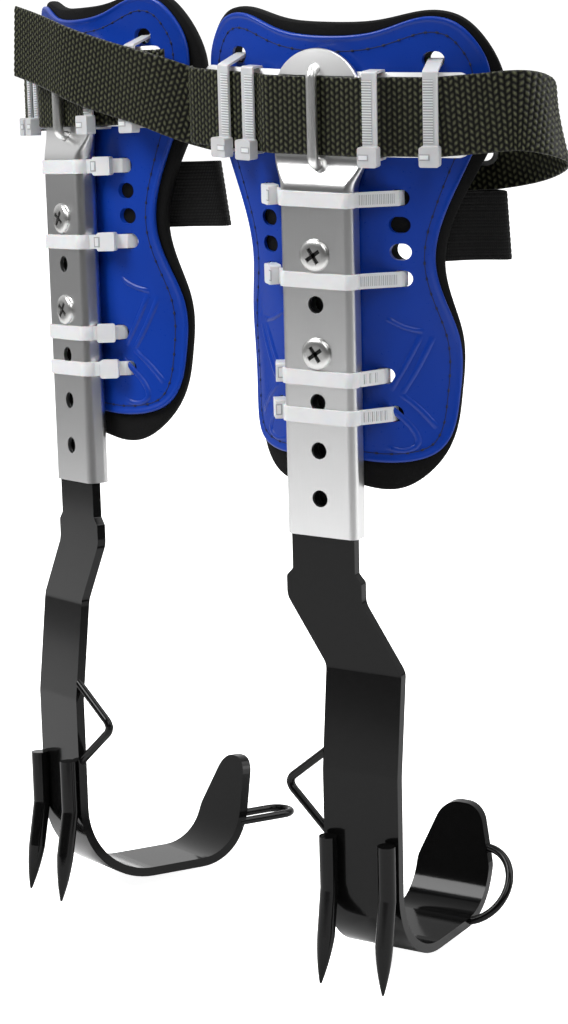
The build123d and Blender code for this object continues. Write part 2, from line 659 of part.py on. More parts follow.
def clamp_screw(index):
    """A pan head screw with a cross recess, seated on the tube's front face."""
    radius = SCREW_HEAD_DIA / 2
    rim = 0.35 * SCREW_HEAD_HEIGHT
    z = -index * HOLE_PITCH
    shank = rod_y(SCREW_DIA, 0, 0, 0, TONGUE_BACK + LOCK_PLATE_THICKNESS)
    crown = make_face([
        Line((0, 0), (radius, 0)), Line((radius, 0), (radius, rim)),
        ThreePointArc((radius, rim), (0.72 * radius, 0.8 * SCREW_HEAD_HEIGHT), (0, SCREW_HEAD_HEIGHT)),
        Line((0, SCREW_HEAD_HEIGHT), (0, 0)),
    ])
    head = revolve(Plane.XZ * crown, Axis.Z)
    for turn in (45, 135):
        head -= Pos(0, 0, SCREW_HEAD_HEIGHT) * Rot(0, 0, turn) * Box(
            SCREW_SLOT_LENGTH, SCREW_SLOT, 2 * SCREW_SLOT_DEPTH)
    return Pos(0, 0, z) * (Rot(90, 0, 0) * head + shank)


def lock_plate(index):
    """The threaded plate behind the tongue that a clamp screw pulls against."""
    y = TONGUE_BACK
    plate = Pos(0, y + LOCK_PLATE_THICKNESS / 2, -index * HOLE_PITCH) * Box(
        LOCK_PLATE_WIDTH, LOCK_PLATE_THICKNESS, LOCK_PLATE_HEIGHT)
    return plate - rod_y(SCREW_DIA + 2 * RUN_GAP, 0, -index * HOLE_PITCH, 0, 2 * TUBE_DEPTH)


# Straps


def beside(f, b, z):
    """A point given in the left iron's view (f to the viewer's right, b back), in the shared frame."""
    return (LEFT_PLACE * Pos(f, b, z)).position


def right_strap_line():
    """The right strap: along the plate, round in a loop, behind the pad, then across the left iron."""
    curl = [(-STRAP_END - 6, 34, STRAP_Z), (-STRAP_END - 4, 28.5, STRAP_Z)]
    loop = [(101, 32, 69), (113, 46, 66), (113, 60, 61), (102, 70, 55), (83, 73, 50)]
    behind = [(56, 72, 45), (20, 70, 42), (-20, 69.5, 43), (-56, 67, 51), (-82, 60.5, 59), (-98, 49.5, 65)]
    keeper = STRAP_FRONT_Y - STRAP_THICKNESS - STAPLE_WIRE - 2 * SOFT_GAP - TAIL_ROOM
    across = [(80, 14, 72), (50, 3, 80), (24, keeper + 0.5, 86), (0, keeper, 90), (-36, keeper, 95)]
    return Spline(*curl, *front_run(-STRAP_END), *loop, *behind, *[beside(*point) for point in across])


def left_strap_line():
    """The left strap's front run, drawn mirrored like the rest of the left iron."""
    curl = [(STRAP_END + 4, 28.5, STRAP_Z), (STRAP_END + 6, 34, STRAP_Z)]
    return Spline(*front_run(-LEFT_STRAP_CUT), *curl)


def strap_eyelet(line):
    """A pressed metal eyelet on the strap's return run, and the hole it needs."""
    steps = [index / 400 for index in range(401)]
    behind = [at for at in steps if (line @ at).Y > EYELET_BEHIND]
    at = min(behind, key=lambda t: abs((line @ t).X - EYELET_X))
    seat = Plane(origin=line @ at, x_dir=(0, 0, 1), z_dir=(line % at).cross(Vector(0, 0, 1)))
    half = STRAP_THICKNESS / 2 + SLIP
    barrel = (EYELET_OUTER + EYELET_INNER) / 2
    ring = extrude(Circle(barrel / 2), amount=half + EYELET_LIP / 2, both=True)
    for side in (-1, 1):
        lip = extrude(Circle(EYELET_OUTER / 2), amount=EYELET_LIP / 2, both=True)
        ring += Pos(0, 0, side * (half + EYELET_LIP / 2)) * lip
    ring -= extrude(Circle(EYELET_INNER / 2), amount=4 * half, both=True)
    hole = extrude(Circle(barrel / 2 + SLIP), amount=4 * half, both=True)
    return seat * ring, seat * hole


# The two irons


def iron():
    """The pieces that both irons share, by name, in the right iron's frame."""
    pieces = {
        "shank_tube": shank_tube(),
        "cross_plate": cross_plate(),
        "strap_staple": strap_staple(),
        "foot_bar": foot_bar(),
        "inner_spike": spike(BAR_LEFT + SPIKE_DIA / 2, -1),
        "outer_spike": spike(BAR_RIGHT - SPIKE_DIA / 2, 1),
        "side_loop": side_loop(),
        "shin_shell": shin_shell(),
    }
    tied = [(VENT_X, VENT_ROWS[0]), (VENT_X, VENT_ROWS[-1]), *LOWER_VENTS]
    channels = [strap_tie(side * OUTER_TIE_X, TIE_ROOM) for side in (-1, 1)]
    for number, place in enumerate(tied, 1):
        pieces[f"shank_tie_{number}"] = shank_tie(*place)
        channels.append(shank_tie(*place, TIE_ROOM))
    pieces["shin_pad"] = shin_pad(channels)
    for name, index in zip(("upper", "lower"), SCREW_HOLES):
        pieces[f"{name}_screw"] = clamp_screw(index)
        pieces[f"{name}_lock_plate"] = lock_plate(index)
    return pieces


def strap_ties(places):
    """The four ties of the strap, by name."""
    return {f"strap_tie_{number}": strap_tie(x) for number, x in enumerate(places, 1)}


def main():
    shared = iron()
    bar = shared["foot_bar"]
    elastic = elastic_band()
    line = right_strap_line()
    eyelet, hole = strap_eyelet(line)
    right = shared | strap_ties(STRAP_TIE_X) | {
        "calf_strap": webbing(line, STRAP_WIDTH, STRAP_THICKNESS, RIGHT_STRAP_STEPS) - hole,
        "strap_eyelet": eyelet,
        "elastic_band": elastic,
        "ear_loop": upright_ear_loop(bar),
    }
    left = shared | strap_ties([-x for x in STRAP_TIE_X]) | {
        "calf_strap": webbing(left_strap_line(), STRAP_WIDTH, STRAP_THICKNESS, LEFT_STRAP_STEPS),
        "elastic_band": mirror(elastic, Plane.YZ),
        "ear_loop": level_ear_loop(bar),
    }
    home = Pos(-ORIGIN.X, -ORIGIN.Y, -ORIGIN.Z)
    os.makedirs("parts", exist_ok=True)
    for name, piece in right.items():
        export_step(home * piece, f"parts/right_{name}.step")
    for name, piece in left.items():
        export_step(home * LEFT_PLACE * mirror(piece, Plane.YZ), f"parts/left_{name}.step")


if __name__ == "__main__":
    main()
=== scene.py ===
# %% [markdown]
# # A pair of tree climbing spikes
# Two leg irons stand side by side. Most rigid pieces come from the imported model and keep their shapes:
# here they get their finishes. Webbing, foam, elastic, the moulded shells and the screws are built again
# with the form and surface of the real ones, and small details are added.

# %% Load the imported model
import math
from functools import partial

import bmesh
import bpy
import numpy as np
from mathutils import Matrix, Vector
from mathutils.bvhtree import BVHTree


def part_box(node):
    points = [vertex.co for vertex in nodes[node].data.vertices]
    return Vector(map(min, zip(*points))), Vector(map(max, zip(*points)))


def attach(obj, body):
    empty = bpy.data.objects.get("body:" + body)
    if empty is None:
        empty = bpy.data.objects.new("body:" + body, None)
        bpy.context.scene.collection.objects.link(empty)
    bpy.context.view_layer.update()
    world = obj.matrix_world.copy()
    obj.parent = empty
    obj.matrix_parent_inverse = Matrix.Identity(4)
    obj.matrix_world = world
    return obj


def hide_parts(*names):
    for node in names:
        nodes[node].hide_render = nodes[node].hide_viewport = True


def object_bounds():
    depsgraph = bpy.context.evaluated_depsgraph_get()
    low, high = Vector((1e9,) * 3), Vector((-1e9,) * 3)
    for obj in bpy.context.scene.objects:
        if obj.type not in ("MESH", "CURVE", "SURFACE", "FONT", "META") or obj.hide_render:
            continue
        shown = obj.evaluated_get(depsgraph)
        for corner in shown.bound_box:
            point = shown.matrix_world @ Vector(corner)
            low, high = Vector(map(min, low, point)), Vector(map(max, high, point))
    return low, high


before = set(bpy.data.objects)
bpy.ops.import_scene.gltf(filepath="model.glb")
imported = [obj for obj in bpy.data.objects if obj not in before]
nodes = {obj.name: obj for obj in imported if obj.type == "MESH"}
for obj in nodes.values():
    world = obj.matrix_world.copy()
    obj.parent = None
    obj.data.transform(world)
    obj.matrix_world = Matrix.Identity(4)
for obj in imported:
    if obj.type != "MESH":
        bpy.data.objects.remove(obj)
cad_low, cad_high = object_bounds()
ROOT = "irons"
MM = 0.001

# %% [markdown]
# ## One frame for both irons
# Every piece is described once, for the right iron: x across the shank to the viewer's right, y back
# from the shank's front face, z up from the upper screw, in millimetres. The left iron is its mirror
# image, turned and set beside it. It could be modelled a second time, but one matrix for each iron
# carries the same description to its place, so both stay alike.

# %% Where each iron stands
TUBE_BELOW = 145.0
LEFT_OFFSET = Vector((-194.0, 60.0, 0.0))
LEFT_YAW = -27.7
LEFT_TILT = -2.95
LEFT_LEAN = -5.75

tube_low, tube_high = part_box("right_shank_tube")
home = Vector(((tube_low.x + tube_high.x) / 2, tube_low.y, tube_low.z + TUBE_BELOW * MM))
to_metres = Matrix.Scale(MM, 4)
RIGHT = Matrix.Translation(home) @ to_metres
LEFT_PLACE = Matrix.Translation(LEFT_OFFSET)
for angle, axis in ((LEFT_YAW, "Z"), (LEFT_TILT, "X"), (LEFT_LEAN, "Y")):
    LEFT_PLACE = LEFT_PLACE @ Matrix.Rotation(math.radians(angle), 4, axis)
BESIDE = RIGHT @ LEFT_PLACE
LEFT = BESIDE @ Matrix.Scale(-1, 4, (1, 0, 0))
IRONS = {"right": RIGHT, "left": LEFT}
print("upper screw of the right iron at", [round(v, 4) for v in home])

# %% [markdown]
# ## The camera
# The photograph is taken with a long lens from the viewer's right and a little above. A camera can be
# aimed by hand until the picture fits. Here its place and three angles are numbers, fitted to points
# read from the photograph, so they can be repeated. The lens is a focal length in pixels of the
# photograph, which gives the millimetres for the sensor, and the small shift says how far the lens axis
# is from the middle of the picture.

# %% Camera
PHOTO_HEIGHT = 1024
FOCAL_PIXELS = 3000.0
AXIS_OFFSET_PIXELS = (-27.6, -1.9)
SENSOR_WIDTH = 36.0
CAMERA_AT = (741.3, -1284.3, 236.6)
CAMERA_YAW = -31.25
CAMERA_PITCH = 13.89
CAMERA_ROLL = -1.56

yaw, pitch, roll = (math.radians(a) for a in (CAMERA_YAW, CAMERA_PITCH, CAMERA_ROLL))
ahead = Vector((math.sin(yaw) * math.cos(pitch), math.cos(yaw) * math.cos(pitch), -math.sin(pitch)))
side = Vector((math.cos(yaw), -math.sin(yaw), 0.0))
above = side.cross(ahead)
camera_x = side * math.cos(roll) + above * math.sin(roll)
camera_y = above * math.cos(roll) - side * math.sin(roll)
lens = bpy.data.cameras.new("camera")
lens.sensor_width = SENSOR_WIDTH
lens.lens = SENSOR_WIDTH * FOCAL_PIXELS / PHOTO_HEIGHT
lens.shift_x = -AXIS_OFFSET_PIXELS[0] / PHOTO_HEIGHT
lens.shift_y = AXIS_OFFSET_PIXELS[1] / PHOTO_HEIGHT
camera = bpy.data.objects.new("camera", lens)
camera_turn = Matrix((camera_x, camera_y, -ahead)).transposed().to_4x4()
camera.matrix_world = Matrix.Translation(RIGHT @ Vector(CAMERA_AT)) @ camera_turn
bpy.context.scene.collection.objects.link(camera)
bpy.context.scene.camera = camera
print("camera lens in mm:", round(lens.lens, 1))

# %% [markdown]
# ## World, floor and lamps
# The picture has a plain white ground. A pale paper just under the spike points keeps a soft shadow, and
# it ends a little in front of the irons, as a paper sweep does. More light would whiten the ground too,
# but it would wash out the pieces, so world and paper turn white only for the rays that the camera
# sends. The pieces stand in a studio that is bright behind the irons, where metal mirrors the white
# ground in full, and dark where the photographer stands, which keeps the black bars black. Soft lamps in
# front and above light the faces and the paper, and one at the right draws the tube's bright edges.
# Spans and lamp sizes are in metres. A span is left, right, front and back, as the camera sees them.

# %% Node helpers
def new_material(name):
    """An empty node material with its Principled shader."""
    material = bpy.data.materials.new(name)
    material.use_nodes = True
    return material, material.node_tree, material.node_tree.nodes["Principled BSDF"]


def add_node(tree, kind, links=None, **values):
    """A shader node, with values set on its attributes and other sockets linked to its inputs."""
    node = tree.nodes.new(kind)
    for key, value in values.items():
        setattr(node, key, value)
    for name, source in (links or {}).items():
        tree.links.new(source, node.inputs[name])
    return node


def set_inputs(node, **values):
    """Set sockets by name, with underscores for spaces."""
    for key, value in values.items():
        node.inputs[key.replace("_", " ")].default_value = value


print("node helpers ready")

# %% World
WHITE = (1.0, 1.0, 1.0, 1.0)
BRIGHT_SIDE = (-0.52, 0.855, 0.15)
DARK_UNTIL = -0.4
DARK_LIGHT = 0.05
BRIGHT_LIGHT = 0.80
MIRRORED_LIGHT = 1.0

world = bpy.data.worlds.new("white_ground")
world.use_nodes = True
bpy.context.scene.world = world
sky = world.node_tree
path = add_node(sky, "ShaderNodeLightPath")
seen_by = {0: path.outputs["Is Camera Ray"], 1: path.outputs["Is Transmission Ray"]}
seen = add_node(sky, "ShaderNodeMath", seen_by, operation="ADD", use_clamp=True)
sight = add_node(sky, "ShaderNodeTexCoord")
facing = add_node(sky, "ShaderNodeVectorMath", {0: sight.outputs["Generated"]}, operation="DOT_PRODUCT")
facing.inputs[1].default_value = BRIGHT_SIDE
mirrored = add_node(sky, "ShaderNodeMapRange", {"Value": path.outputs["Is Glossy Ray"]})
set_inputs(mirrored, To_Min=BRIGHT_LIGHT, To_Max=MIRRORED_LIGHT)
glow_by = {"Value": facing.outputs["Value"], "To Max": mirrored.outputs["Result"]}
glow = add_node(sky, "ShaderNodeMapRange", glow_by)
set_inputs(glow, From_Min=DARK_UNTIL, From_Max=1.0, To_Min=DARK_LIGHT)
strength = add_node(sky, "ShaderNodeMapRange", {"Value": seen.outputs[0], "To Min": glow.outputs["Result"]})
set_inputs(strength, To_Max=1.0)
background = sky.nodes["Background"]
set_inputs(background, Color=WHITE)
sky.links.new(strength.outputs["Result"], background.inputs["Strength"])
bpy.context.scene.view_settings.view_transform = "Standard"
print("world light from", DARK_LIGHT, "to", BRIGHT_LIGHT)

# %% Paper and studio floor
FLOOR_GAP = 2.0
PAPER_SPAN = (-1.2, 1.5, -0.66, 3.0)
STUDIO_SPAN = (-8.0, 8.0, -8.0, 8.0)
PAPER_TONE = 0.9
STUDIO_TONE = 0.30
PAPER_ROUGHNESS = 0.9
FLOOR_LIFT = 0.95


def ground_sheet(name, span, height, tone):
    """A level sheet, square to the camera, that the camera sees white and the pieces see in its tone."""
    left, right, front, back = span
    over, away = Vector((side.x, side.y)), Vector((-side.y, side.x))
    spots = ((left, front), (right, front), (right, back), (left, back))
    mesh = bpy.data.meshes.new(name)
    mesh.from_pydata([(*(over * u + away * w), height) for u, w in spots], [], [(0, 1, 2, 3)])
    finish, tree, shader = new_material(name)
    set_inputs(shader, Base_Color=(tone, tone, tone, 1.0), Roughness=PAPER_ROUGHNESS, Emission_Color=WHITE)
    rays = add_node(tree, "ShaderNodeLightPath")
    lift = add_node(tree, "ShaderNodeMath", {0: rays.outputs["Is Camera Ray"]}, operation="MULTIPLY")
    lift.inputs[1].default_value = FLOOR_LIFT
    tree.links.new(lift.outputs[0], shader.inputs["Emission Strength"])
    mesh.materials.append(finish)
    sheet = bpy.data.objects.new(name, mesh)
    bpy.context.scene.collection.objects.link(sheet)


ground = cad_low.z - FLOOR_GAP * MM
ground_sheet("white_paper", PAPER_SPAN, ground, PAPER_TONE)
ground_sheet("studio_floor", STUDIO_SPAN, ground - MM, STUDIO_TONE)
print("floor at", round(ground, 4))

# %% Lamps
LAMP_TARGET = (-80.0, 40.0, -120.0)


def soft_lamp(name, at, size, power):
    """An area lamp at a place in the right iron's frame, turned to the middle of the pair."""
    data = bpy.data.lights.new(name, "AREA")
    data.shape = "RECTANGLE"
    data.size, data.size_y = size
    data.energy = power
    lamp = bpy.data.objects.new(name, data)
    lamp.location = RIGHT @ Vector(at)
    target = RIGHT @ Vector(LAMP_TARGET)
    lamp.rotation_euler = (target - lamp.location).to_track_quat("-Z", "Y").to_euler()
    bpy.context.scene.collection.objects.link(lamp)


soft_lamp("key_softbox", at=(-850.0, -850.0, 1250.0), size=(0.9, 0.9), power=34.0)
soft_lamp("right_softbox", at=(1200.0, 700.0, 600.0), size=(0.9, 1.4), power=12.0)
soft_lamp("top_softbox", at=(450.0, 600.0, 1600.0), size=(1.6, 1.6), power=20.0)
soft_lamp("fill_softbox", at=(900.0, -1000.0, 1300.0), size=(1.0, 1.0), power=13.0)
print("lamps:", len(bpy.data.lights))

# %% [markdown]
# ## Metals
# The tube is satin aluminium with fine lines along it, and the pressed plates are paler and duller.
# Staples and eyelet are bright steel, the screws are greyer, zinc-plated steel, and the bars are steel
# with a gloss black coat that is rippled like orange peel. An image could carry such a grain, but it
# needs unwrapping. Noise in object space needs none: squeezed across the tube and stretched along it, it
# draws the lines, and it moves colour, roughness and a very small bump together.

# %% Finish helpers
def stretched_noise(tree, scale, detail):
    """Noise in object space, with its own scale along x, y and z."""
    where = add_node(tree, "ShaderNodeTexCoord")
    stretch = add_node(tree, "ShaderNodeMapping", {"Vector": where.outputs["Object"]})
    stretch.inputs["Scale"].default_value = scale
    noise = add_node(tree, "ShaderNodeTexNoise", {"Vector": stretch.outputs["Vector"]})
    set_inputs(noise, Scale=1.0, Detail=detail)
    return noise.outputs["Fac"]


def ranged(tree, socket, low, high):
    """A socket from 0 to 1, moved to run from low to high."""
    node = add_node(tree, "ShaderNodeMapRange", {"Value": socket})
    set_inputs(node, To_Min=low, To_Max=high)
    return node.outputs["Result"]


def coloured(tree, shader, socket, first, last):
    """Give a shader a colour between two, by a socket from 0 to 1."""
    ramp = add_node(tree, "ShaderNodeValToRGB", {"Fac": socket})
    ramp.color_ramp.elements[0].color = (*first, 1.0)
    ramp.color_ramp.elements[1].color = (*last, 1.0)
    tree.links.new(ramp.outputs["Color"], shader.inputs["Base Color"])


def bumped(tree, shader, height, depth):
    """Give a shader a bump of this depth in metres."""
    bump = add_node(tree, "ShaderNodeBump", {"Height": height})
    set_inputs(bump, Distance=depth, Strength=1.0)
    tree.links.new(bump.outputs["Normal"], shader.inputs["Normal"])


def grained(name, colours, grain, detail=2.0, skin=None, rough=None, depth=None, **inputs):
    """A finish whose noise moves its colour, and with it, or by a skin's own noise, roughness and bump."""
    material, tree, shader = new_material(name)
    set_inputs(shader, **inputs)
    noise = stretched_noise(tree, grain, detail)
    coloured(tree, shader, noise, *colours)
    if skin:
        noise = stretched_noise(tree, skin, detail)
    if rough:
        tree.links.new(ranged(tree, noise, *rough), shader.inputs["Roughness"])
    if depth:
        bumped(tree, shader, noise, depth)
    return material


def plain(name, colour, **inputs):
    """A finish of one colour."""
    material, _, shader = new_material(name)
    set_inputs(shader, Base_Color=(*colour, 1.0), **inputs)
    return material


def grey(tone):
    """A neutral colour."""
    return tone, tone, tone


def even(scale):
    """The same scale along x, y and z."""
    return scale, scale, scale


print("finish helpers ready")

# %% Metal finishes
LINES = (2600, 2600, 60)
METAL = {"detail": 3.0, "Metallic": 1.0}

satin_aluminium = grained(
    "satin_aluminium", (grey(0.68), grey(0.72)), LINES, rough=(0.27, 0.29), depth=2e-8, **METAL)
pressed_aluminium = grained(
    "pressed_aluminium", (grey(0.90), grey(0.93)), LINES, rough=(0.42, 0.46), depth=2e-8, **METAL)
bright_steel = grained(
    "bright_steel", ((0.72, 0.72, 0.71), (0.82, 0.82, 0.81)), even(900), rough=(0.30, 0.38), depth=2e-6,
    **METAL)
zinc_steel = grained(
    "zinc_steel", ((0.52, 0.52, 0.51), (0.64, 0.64, 0.63)), even(1500), rough=(0.28, 0.36), depth=3e-6,
    **METAL)
# Near black for a block in the bottom of each screw's cross, which paints the shade in the recess.
painted_shade_recess = plain("painted_shade_recess", grey(0.012), Roughness=0.6, Metallic=0.6)
black_coat = grained(
    "gloss_black_coat", (grey(0.002), grey(0.004)), even(420), rough=(0.09, 0.14), depth=1e-6,
    Specular_IOR_Level=0.17)
print("metal finishes: aluminium, bright steel, zinc steel, black coat")

# %% [markdown]
# ## Moulded plastic, foam and nylon
# The shell is glossy cobalt blue plastic with the soft unevenness of a moulding. The foam behind it is
# matt black with fine open cells, and the thread is navy; the same navy paints the shade of the stitch
# groove. The ties are milky nylon. Plain white would look like chalk, so a little light goes into them and
# comes out near by, which subsurface scattering gives. The ties on the strap look greyer and have a nylon
# of their own, and a darker nylon paints the shade in the ladders' beds and the heads' windows.

# %% Plastic, foam and nylon finishes
blue_shell = grained(
    "cobalt_shell", ((0.002, 0.029, 0.25), (0.004, 0.038, 0.31)), even(28), skin=even(700),
    rough=(0.24, 0.36), depth=2e-5, Specular_IOR_Level=0.28)
black_foam = grained(
    "black_foam", (grey(0.001), grey(0.006)), even(1500), detail=4.0, depth=2e-4,
    Roughness=0.85, Specular_IOR_Level=0.14)
white_nylon = grained(
    "milky_nylon", ((0.66, 0.665, 0.675), (0.73, 0.735, 0.745)), even(160), rough=(0.30, 0.44), depth=2e-5,
    Subsurface_Weight=0.2, Subsurface_Scale=0.002, Transmission_Weight=0.1)
thin_nylon = grained(
    "thin_nylon", ((0.45, 0.455, 0.465), (0.53, 0.535, 0.545)), even(160),
    Roughness=0.36, Subsurface_Weight=0.15, Subsurface_Scale=0.002)
# A darker nylon for the ladders' beds and the heads' windows paints the shade that lies there.
painted_shade_nylon = plain("painted_shade_nylon", (0.34, 0.34, 0.35), Roughness=0.6)
# Navy for the stitches, and for the rod along the stitch line, where it paints the groove's shade.
thread_and_groove_shade = grained(
    "navy_thread_and_groove_shade", ((0.002, 0.004, 0.018), (0.006, 0.012, 0.06)), even(2500), Roughness=0.8)
print("plastic, foam and nylon finishes made")

# %% [markdown]
# ## Webbing and elastic
# The strap is heavy woven webbing. Seen close, it is rows of fat yarns that stand out like beads: they
# lie in columns across the strap, every second column is half a row higher, and neighbours lean towards
# each other. An image of cloth would be quick, but its yarns would not lie on those of the mesh. So the
# pattern is worked out from the strap's own length and width, kept in its UV map in metres, and the
# band's mesh uses the same formula for its height.

# %% Arithmetic on sockets
def math_node(tree, operation, first, second=None):
    """One step of arithmetic on sockets or plain numbers."""
    node = add_node(tree, "ShaderNodeMath", operation=operation)
    for index, value in enumerate((first, second)):
        if isinstance(value, bpy.types.NodeSocket):
            tree.links.new(value, node.inputs[index])
        elif value is not None:
            node.inputs[index].default_value = value
    return node.outputs[0]


def band_uv(tree):
    """Millimetres along and across a band, from its UV map."""
    uv = add_node(tree, "ShaderNodeUVMap", uv_map="band")
    parts = add_node(tree, "ShaderNodeSeparateXYZ", {"Vector": uv.outputs["UV"]})
    return [math_node(tree, "MULTIPLY", parts.outputs[axis], 1 / MM) for axis in ("X", "Y")]


def wave(tree, socket, turns):
    """The size of a sine with this many half turns for each unit of the socket."""
    angle = math_node(tree, "MULTIPLY", socket, math.pi * turns)
    return math_node(tree, "ABSOLUTE", math_node(tree, "SINE", angle))


print("socket helpers ready")

# %% Webbing finish
YARN_COLUMN = 2.7
YARN_ROW = 3.3
YARN_LEAN = 0.45
ROW_ROUND = 0.8
COLUMN_ROUND = 0.6
GAP_POWER = 3.2
# Near black in the gaps between yarns: painted shade.
GAP_SHADE_COLOUR = (0.0003, 0.0003, 0.0002)
YARN_COLOUR = (0.120, 0.127, 0.068)
FIBRE_TONE = (0.55, 1.2)

olive_webbing, web_tree, web_shader = new_material("olive_webbing")
web_along, web_across = band_uv(web_tree)
web = partial(math_node, web_tree)
column = web("DIVIDE", web_along, YARN_COLUMN)
odd = web("FLOORED_MODULO", web("FLOOR", column), 2.0)
inside = web("SUBTRACT", web("FRACT", column), 0.5)
lean_way = web("SUBTRACT", 1.0, web("MULTIPLY", odd, 2.0))
lean = web("MULTIPLY", web("MULTIPLY", inside, YARN_LEAN), lean_way)
row = web("ADD", web("DIVIDE", web_across, YARN_ROW), lean)
row = web("ADD", row, web("MULTIPLY", odd, 0.5))
over_row = web("POWER", wave(web_tree, row, 1), ROW_ROUND)
over_column = web("COSINE", web("MULTIPLY", inside, math.pi))
yarn = web("MULTIPLY", over_row, web("POWER", over_column, COLUMN_ROUND))
fibre = stretched_noise(web_tree, even(2200), 3.0)
tone = web("MULTIPLY", yarn, ranged(web_tree, fibre, *FIBRE_TONE))
# The colour runs from near black in the gaps to the yarn's own olive on its crown; the near black paints the
# gaps' shade.
painted_gap_shade = web("POWER", tone, GAP_POWER)
coloured(web_tree, web_shader, painted_gap_shade, GAP_SHADE_COLOUR, YARN_COLOUR)
set_inputs(web_shader, Roughness=0.36, Specular_IOR_Level=0.24)
bumped(web_tree, web_shader, fibre, 1e-4)
print("webbing: yarn column", YARN_COLUMN, "mm, yarn row", YARN_ROW, "mm")

# %% Elastic finish
KNIT_ALONG = 1.1
KNIT_ACROSS = 0.6

black_elastic, elastic_tree, elastic_shader = new_material("ribbed_elastic")
knit_along, knit_across = band_uv(elastic_tree)
knit = math_node(elastic_tree, "MULTIPLY", wave(elastic_tree, knit_along, KNIT_ALONG),
                 wave(elastic_tree, knit_across, KNIT_ACROSS))
coloured(elastic_tree, elastic_shader, knit, grey(0.0008), grey(0.006))
set_inputs(elastic_shader, Roughness=0.7, Specular_IOR_Level=0.16, Sheen_Weight=0.06, Sheen_Roughness=0.4)
bumped(elastic_tree, elastic_shader, knit, 3e-4)
print("elastic finish made")

# %% [markdown]
# ## Finishes on the nodes
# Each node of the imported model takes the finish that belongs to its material. A finish could be given to
# one object after another by hand. A table of name parts does it in one loop: the first part found in a
# node's name counts, so the strap's ties come before the other ties.

# %% Give every node its finish
FINISHES = {
    "shank_tube": satin_aluminium, "cross_plate": pressed_aluminium, "strap_staple": bright_steel,
    "strap_eyelet": bright_steel, "screw": zinc_steel, "lock_plate": zinc_steel, "foot_bar": black_coat,
    "spike": black_coat, "side_loop": black_coat, "ear_loop": black_coat, "shin_shell": blue_shell,
    "strap_tie": thin_nylon, "tie": white_nylon, "shin_pad": black_foam, "elastic_band": black_elastic,
    "calf_strap": olive_webbing,
}
for name, node in nodes.items():
    node.data.materials.clear()
    node.data.materials.append(next(finish for key, finish in FINISHES.items() if key in name))
print("nodes with a finish:", len(nodes))

# %% [markdown]
# ## Broken edges
# A real tie or pressed plate has no knife edges: a thin line of light runs along its rounded corners.
# They could be rounded on each mesh by hand. A bevel modifier does it for all edges sharper than a limit
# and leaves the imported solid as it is. A weld goes before it, so that neighbouring faces share their edge.

# %% Break the sharp edges
EDGE_BREAKS = {"tie": 0.5, "cross_plate": 0.4}
EDGE_ANGLE = 35.0
EDGE_SEGMENTS = 2
WELD_GAP = 0.01


def break_edges(node, width):
    """Join a node's faces and round its sharp edges with modifiers."""
    weld = node.modifiers.new("weld", "WELD")
    weld.merge_threshold = WELD_GAP * MM
    rounding = node.modifiers.new("rounding", "BEVEL")
    rounding.width = width * MM
    rounding.segments = EDGE_SEGMENTS
    rounding.limit_method = "ANGLE"
    rounding.angle_limit = math.radians(EDGE_ANGLE)
    rounding.harden_normals = True


for key, width in EDGE_BREAKS.items():
    chosen = [node for name, node in nodes.items() if key in name]
    for node in chosen:
        break_edges(node, width)
    print("nodes with broken edges:", key, len(chosen))

# %% [markdown]
# ## Helpers for new pieces
# A new piece could be drawn by hand or grown from curves. Here each one is points and faces, worked out
# in one of the irons' frames, because its sizes then stand in the script. A matrix carries the points to
# their place, the faces are turned outwards, and the piece is set to ride on its body.

# %% Piece helpers
def new_object(name, points, faces, place):
    """A mesh object from points carried to their place by a matrix, with its faces turned outwards."""
    mesh = bpy.data.meshes.new(name)
    mesh.from_pydata([place @ Vector(p) for p in points], [], faces)
    form = bmesh.new()
    form.from_mesh(mesh)
    bmesh.ops.recalc_face_normals(form, faces=form.faces)
    form.to_mesh(mesh)
    form.free()
    made = bpy.data.objects.new(name, mesh)
    bpy.context.scene.collection.objects.link(made)
    return made


def add_piece(name, points, faces, finish, slot, place, smooth=True, body=ROOT):
    """A new piece that rides on a body, with its finish. Its slot is not used."""
    piece = new_object(name, points, faces, place)
    piece.data.materials.append(finish)
    if smooth:
        piece.data.shade_smooth()
    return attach(piece, body)


def join(piece, points, faces):
    """Add points and faces to a growing piece, which is a list of points and a list of faces."""
    start = len(piece[0])
    piece[0].extend(points)
    piece[1].extend(tuple(start + k for k in face) for face in faces)


def ring_faces(rings, count, start=0):
    """Faces between rings of points that follow each other in a list."""
    faces = []
    for ring in range(start, start + (rings - 1) * count, count):
        for j in range(count):
            a, b = ring + j, ring + (j + 1) % count
            faces.append((a, b, b + count, a + count))
    return faces


def rod_faces(rings, count):
    """Faces of a closed rod: between its rings, and a cap at each end."""
    last = (rings - 1) * count
    caps = [tuple(range(count)), tuple(last + j for j in reversed(range(count)))]
    return ring_faces(rings, count) + caps


def cut_out(piece, punch):
    """Cut a punch out of a piece and remove the punch."""
    cut = piece.modifiers.new("cut", "BOOLEAN")
    cut.object = punch
    cut.operation = "DIFFERENCE"
    bpy.context.view_layer.objects.active = piece
    bpy.ops.object.modifier_apply(modifier=cut.name)
    bpy.data.objects.remove(punch)


print("piece helpers ready")

# %% [markdown]
# ## Smooth lines
# Straps, outlines and ridges follow smooth lines through a few given points. Blender's curves can do
# this. Here it is a cubic spline worked out in numbers: one set of equations gives the bend at every
# point, and then each piece can ask where its line is and which way it runs there.

